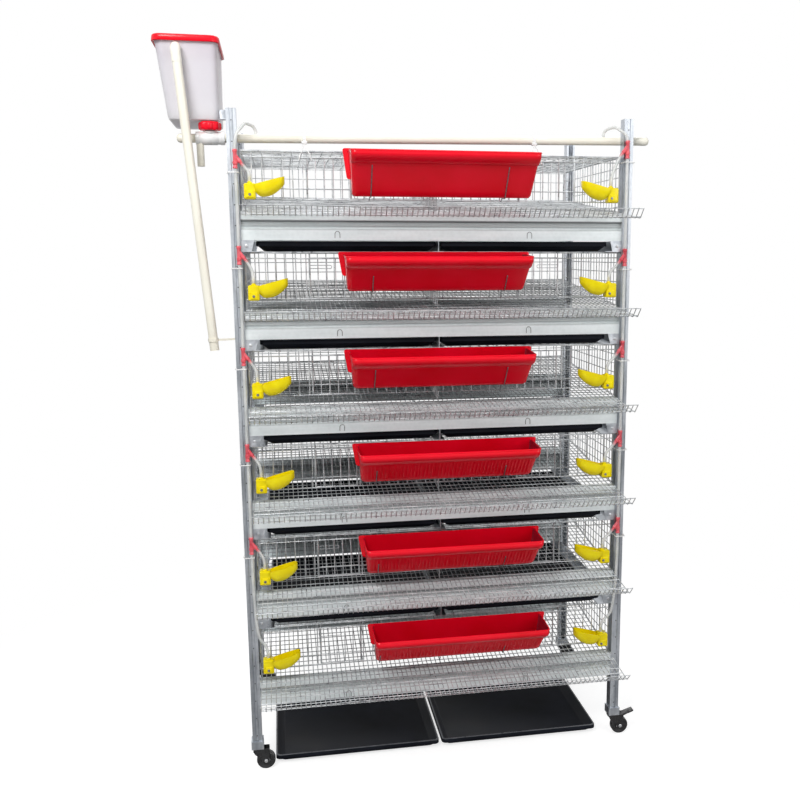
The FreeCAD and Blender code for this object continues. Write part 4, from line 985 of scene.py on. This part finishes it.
# The riser: a leaning cream pipe that turns over the tank's front wall, strapped to the left post.
dress("inlet_riser", pipe_cream)
elbow_x = -0.625
elbow_y = front_y - 0.030
elbow_z = 1.862
bend = 0.016
sweep = np.linspace(0, math.pi / 2, 9)
lean = 0.0807
elbow = [(elbow_x, elbow_y + 0.034, elbow_z)]
elbow += [(elbow_x + lean * bend * (1 - math.cos(t)), elbow_y + bend - bend * math.sin(t),
           elbow_z - bend + bend * math.cos(t)) for t in sweep]
elbow += [(elbow_x + lean * 0.034, elbow_y, elbow_z - 0.036)]
piece("riser_elbow", *rods([elbow], 0.0118, 28), pipe_cream, "frame", angle=60)

# The hose ties, rail screws and beam loops: nylon bands pulled round post and hose, round-headed
# screws, and small bent wires that hold the trays' ends.
tie_parts = []
screw_parts = []
loop_parts = []
for side in (-1, 1):
    for tier, foot in enumerate(tee_feet[side], start=1):
        z = tier_z(tier) + foot - 0.0085
        x = side * post_x
        y0 = hose_y - 0.0043
        y1 = front_y + 0.0153
        band = rounded_ring(x - 0.0133, y0 - 0.0005, x + 0.0133, y1 + 0.0005, 0.003, 4)
        path = placed(band[:, 0], band[:, 1], z)
        path = np.concatenate([path, path[:1]])
        points, faces = rods([path], 0.0008, 6)
        points[:, 2] = z + (points[:, 2] - z) * 1.9
        tie_parts.append((points, faces))
        tie_parts.append(soft_block(x + side * 0.0135 - 0.002, y0 + 0.012, z - 0.0025,
                                    x + side * 0.0135 + 0.002, y0 + 0.018, z + 0.0025, 0.0008))
for tier in range(1, tiers):
    for side in (-1, 1):
        for end, kind in ((front_y - 0.012, "-y"), (-front_y + 0.012, "y")):
            head = turned(lathe([(0.0042, 0.0), (0.0042, 0.0005), (0.0036, 0.0018),
                                 (0.0020, 0.0024)], 16), kind)
            screw_parts.append(moved(head, side * 0.4805, end, tier_z(tier) - 0.014))
for tier in range(1, tiers + 1):
    for x in (-0.257, 0.240):
        turn = np.linspace(math.pi, 0, 9)
        arch_x = np.concatenate([[-0.0062], 0.0062 * np.cos(turn), [0.0062]])
        arch_z = np.concatenate([[0.006], 0.0155 + 0.0070 * np.sin(turn), [0.006]])
        arch = placed(x + arch_x, front_y - 0.0131, tier_z(tier) + arch_z)
        loop_parts.append(rods([arch], 0.0008, 8))
piece("hose_ties", *joined(tie_parts), white_plastic, "frame", "ties_and_fasteners")
piece("rail_screws", *joined(screw_parts), net_zinc, "frame")
piece("beam_loops", *joined(loop_parts), dark_steel, "frame", angle=60)

# The casters: black moulded forks on a steel stem, soft black tyres on a silver hub, and a moulded
# brake pedal on two of them.
caster_black = mottled("caster_black", "black_gloss", ((0.012, 0.012, 0.013), 0.25), 60.0,
                       (0.008, 0.008, 0.009), (0.024, 0.024, 0.026), (0.2, 0.35), 0.05,
                       Coat_Weight=0.3)
hub_silver = mottled("hub_silver", "galvanised", ((0.72, 0.73, 0.75), 0.25, 1.0), 120.0,
                     (0.62, 0.63, 0.65), (0.80, 0.81, 0.83), (0.2, 0.32))
tyre_profile = [(0.0040, -0.0080), (0.0150, -0.0080), (0.0185, -0.0092), (0.0222, -0.0100),
                (0.0242, -0.0088), (0.0250, -0.0060), (0.0250, -0.0012), (0.0245, -0.0006)]
tyre_profile += [(radius, -height) for radius, height in tyre_profile[::-1]]
fork_outline = np.array([(-0.0120, 0.0596), (-0.0125, 0.0530), (-0.0080, 0.0450), (0.0060, 0.0330),
                         (0.0118, 0.0250), (0.0125, 0.0200), (0.0160, 0.0172), (0.0210, 0.0162),
                         (0.0260, 0.0172), (0.0295, 0.0215), (0.0302, 0.0270), (0.0306, 0.0400),
                         (0.0310, 0.0520), (0.0305, 0.0596)])
lever_outline = np.array([(-0.0035, 0.0545), (0.0, 0.0518), (0.006, 0.0545), (0.018, 0.0600),
                          (0.030, 0.0640), (0.0348, 0.0664), (0.0350, 0.0690), (0.0335, 0.0699),
                          (0.022, 0.0662), (0.008, 0.0612), (0.0, 0.0594), (-0.0035, 0.0575)])


def thickened(outline, x, y, layers, flip=False):
    """An outline in X and Z made thick along Y: each layer (place, share in X, share in Z) draws it
    in about its middle."""
    middle = outline.mean(axis=0)
    rows = []
    for place, *share in layers:
        ring = middle + (outline - middle) * share
        rows.append(placed(x + ring[:, 0], y + place, ring[:, 1]))
    return capped(rows, flip)


for name, side, end in (("front_left", -1, -1), ("front_right", 1, -1), ("rear_left", -1, 1),
                        ("rear_right", 1, 1)):
    x = side * post_x
    y = -end * front_y
    fork = "caster_fork_" + name
    wheel = "caster_wheel_" + name
    axle_x = x + 0.021
    tyre = turned(lathe(tyre_profile, 48), "y")
    piece("tyre_" + name, *moved(tyre, axle_x, y, 0.025), caster_black, wheel, wheel, angle=35)
    hubs = []
    for face, kind in ((-0.0080, "-y"), (0.0080, "y")):
        hub = turned(lathe([(0.0100, 0.0), (0.0100, 0.0010), (0.0086, 0.0018), (0.0050, 0.0020),
                            (0.0034, 0.0020)], 24), kind)
        hubs.append(moved(hub, axle_x, y + face, 0.025))
    piece("hub_" + name, *joined(hubs), hub_silver, wheel, angle=35)
    fork_parts = []
    for inner, outer in ((-0.0116, -0.0135), (0.0116, 0.0135)):
        layers = ((inner, 1, 1), (outer * 0.97, 1, 1), (outer, 0.94, 0.94))
        fork_parts.append(thickened(fork_outline, x, y, layers, flip=inner > 0))
    fork_parts.append(moved(soft_block(-0.012, -0.0133, 0.052, 0.0158, 0.0133, 0.0600, 0.005), x, y, 0))
    bearing = lathe([(0.0105, 0.0590), (0.0150, 0.0592), (0.0152, 0.0602), (0.0140, 0.0612),
                     (0.0090, 0.0616)], 32)
    fork_parts.append(moved(bearing, x, y, 0))
    piece("fork_" + name, *joined(fork_parts), caster_black, fork, fork, angle=40)
    bolts = []
    for face, kind in ((-0.0135, "-y"), (0.0135, "y")):
        bolt = turned(lathe([(0.0048, 0.0), (0.0048, 0.0012), (0.0036, 0.0019), (0.0018, 0.0020)],
                            20), kind)
        bolts.append(moved(bolt, axle_x, y + face, 0.025))
    bolts.append(moved(lathe([(0.0050, 0.0616), (0.0050, 0.0895), (0.0040, 0.0900)], 20), x, y, 0))
    piece("axle_" + name, *joined(bolts), hub_silver, fork, angle=35)
for name, side, end in (("front_right", 1, -1), ("rear_left", -1, 1)):
    pedal = "brake_pedal_" + name
    layers = ((-0.0106, 1, 0.92), (-0.0098, 1, 1), (0.0098, 1, 1), (0.0106, 1, 0.92))
    lever = thickened(lever_outline, side * post_x + 0.027, -end * front_y, layers, flip=True)
    piece("pedal_" + name, *lever, caster_black, pedal, pedal, angle=40)

# The studio: a pale floor that keeps the shadow, soft lamps in front and above, and a camera where
# the photographer stood, a little left of the cage at about chest height.
paper_glow = 0.74
floor_paper, paper_tree, paper_shader = shade("floor_paper", "", (0.45, 0.45, 0.45), 0.9)
seen_direct = add(paper_tree, "LightPath").outputs["Is Camera Ray"]
lift = add(paper_tree, "Math", {0: seen_direct, 1: paper_glow}, operation="MULTIPLY").outputs[0]
glow = add(paper_tree, "Emission", {"Color": (1, 1, 1, 1), "Strength": lift})
near = add(paper_tree, "AddShader", {0: paper_shader.outputs[0], 1: glow.outputs[0]})
paper_spot = add(paper_tree, "SeparateXYZ", {"Vector": where(paper_tree)})
away = add(paper_tree, "CombineXYZ", {"X": paper_spot.outputs["X"], "Y": paper_spot.outputs["Y"]})
away = add(paper_tree, "VectorMath", {0: away.outputs[0]}, operation="LENGTH").outputs["Value"]
away = add(paper_tree, "MapRange", {"Value": away, "From Min": 0.9, "From Max": 1.7},
           interpolation_type="SMOOTHSTEP").outputs["Result"]
away = add(paper_tree, "Math", {0: away, 1: seen_direct}, operation="MULTIPLY").outputs[0]
far = add(paper_tree, "Emission", {"Color": (1, 1, 1, 1), "Strength": 1.0})
faded = add(paper_tree, "MixShader", {0: away, 1: near.outputs[0], 2: far.outputs[0]})
paper_tree.links.new(faded.outputs[0], paper_tree.nodes["Material Output"].inputs["Surface"])
mesh = bpy.data.meshes.new("floor")
reach = 12.0
mesh.from_pydata([(-reach, -reach, 0), (reach, -reach, 0), (reach, reach, 0), (-reach, reach, 0)], [],
                 [(0, 1, 2, 3)])
mesh.materials.append(floor_paper)
floor = bpy.data.objects.new("floor", mesh)
bpy.context.scene.collection.objects.link(floor)

world = bpy.data.worlds.new("studio")
bpy.context.scene.world = world
world.use_nodes = True
sky = world.node_tree
sky.nodes.clear()
rays = add(sky, "LightPath")
seen = add(sky, "Math", {0: rays.outputs["Is Camera Ray"], 1: rays.outputs["Is Transmission Ray"]},
           operation="MAXIMUM").outputs[0]
seen = add(sky, "Math", {0: seen, 1: rays.outputs["Is Glossy Ray"]}, operation="MAXIMUM").outputs[0]
white = add(sky, "Background", {"Color": (1, 1, 1, 1), "Strength": 1.0})
soft = add(sky, "Background", {"Color": (1, 1, 1, 1), "Strength": 0.38})
both = add(sky, "MixShader", {0: seen, 1: soft.outputs[0], 2: white.outputs[0]})
add(sky, "OutputWorld", {"Surface": both.outputs[0]})

for name, place, target, size, power in (("key", (-1.4, -2.4, 3.3), (0, 0, 1.2), 1.2, 80),
                                         ("fill", (2.6, -3.0, 2.4), (0, 0, 1.1), 2.0, 36),
                                         ("top", (0.2, 1.6, 3.6), (0, 0, 1.0), 2.2, 30)):
    lamp = bpy.data.lights.new(name, "AREA")
    lamp.size = size
    lamp.energy = power
    made = bpy.data.objects.new(name, lamp)
    made.location = place
    aim = np.array(target) - np.array(place)
    flat = math.hypot(aim[0], aim[1])
    made.rotation_euler = (math.pi / 2 + math.atan2(aim[2], flat), 0, math.atan2(-aim[0], aim[1]))
    bpy.context.scene.collection.objects.link(made)

lens = bpy.data.cameras.new("camera")
lens.lens = 43.83
lens.sensor_width = 36
lens.shift_x = -0.0966
lens.shift_y = 0.0335
camera = bpy.data.objects.new("camera", lens)
camera.location = (-0.4056, -2.7863, 1.3856)
camera.rotation_euler = (math.radians(79.842), 0, math.radians(-11.405))
bpy.context.scene.collection.objects.link(camera)
bpy.context.scene.camera = camera
bpy.context.scene.view_settings.view_transform = "Standard"
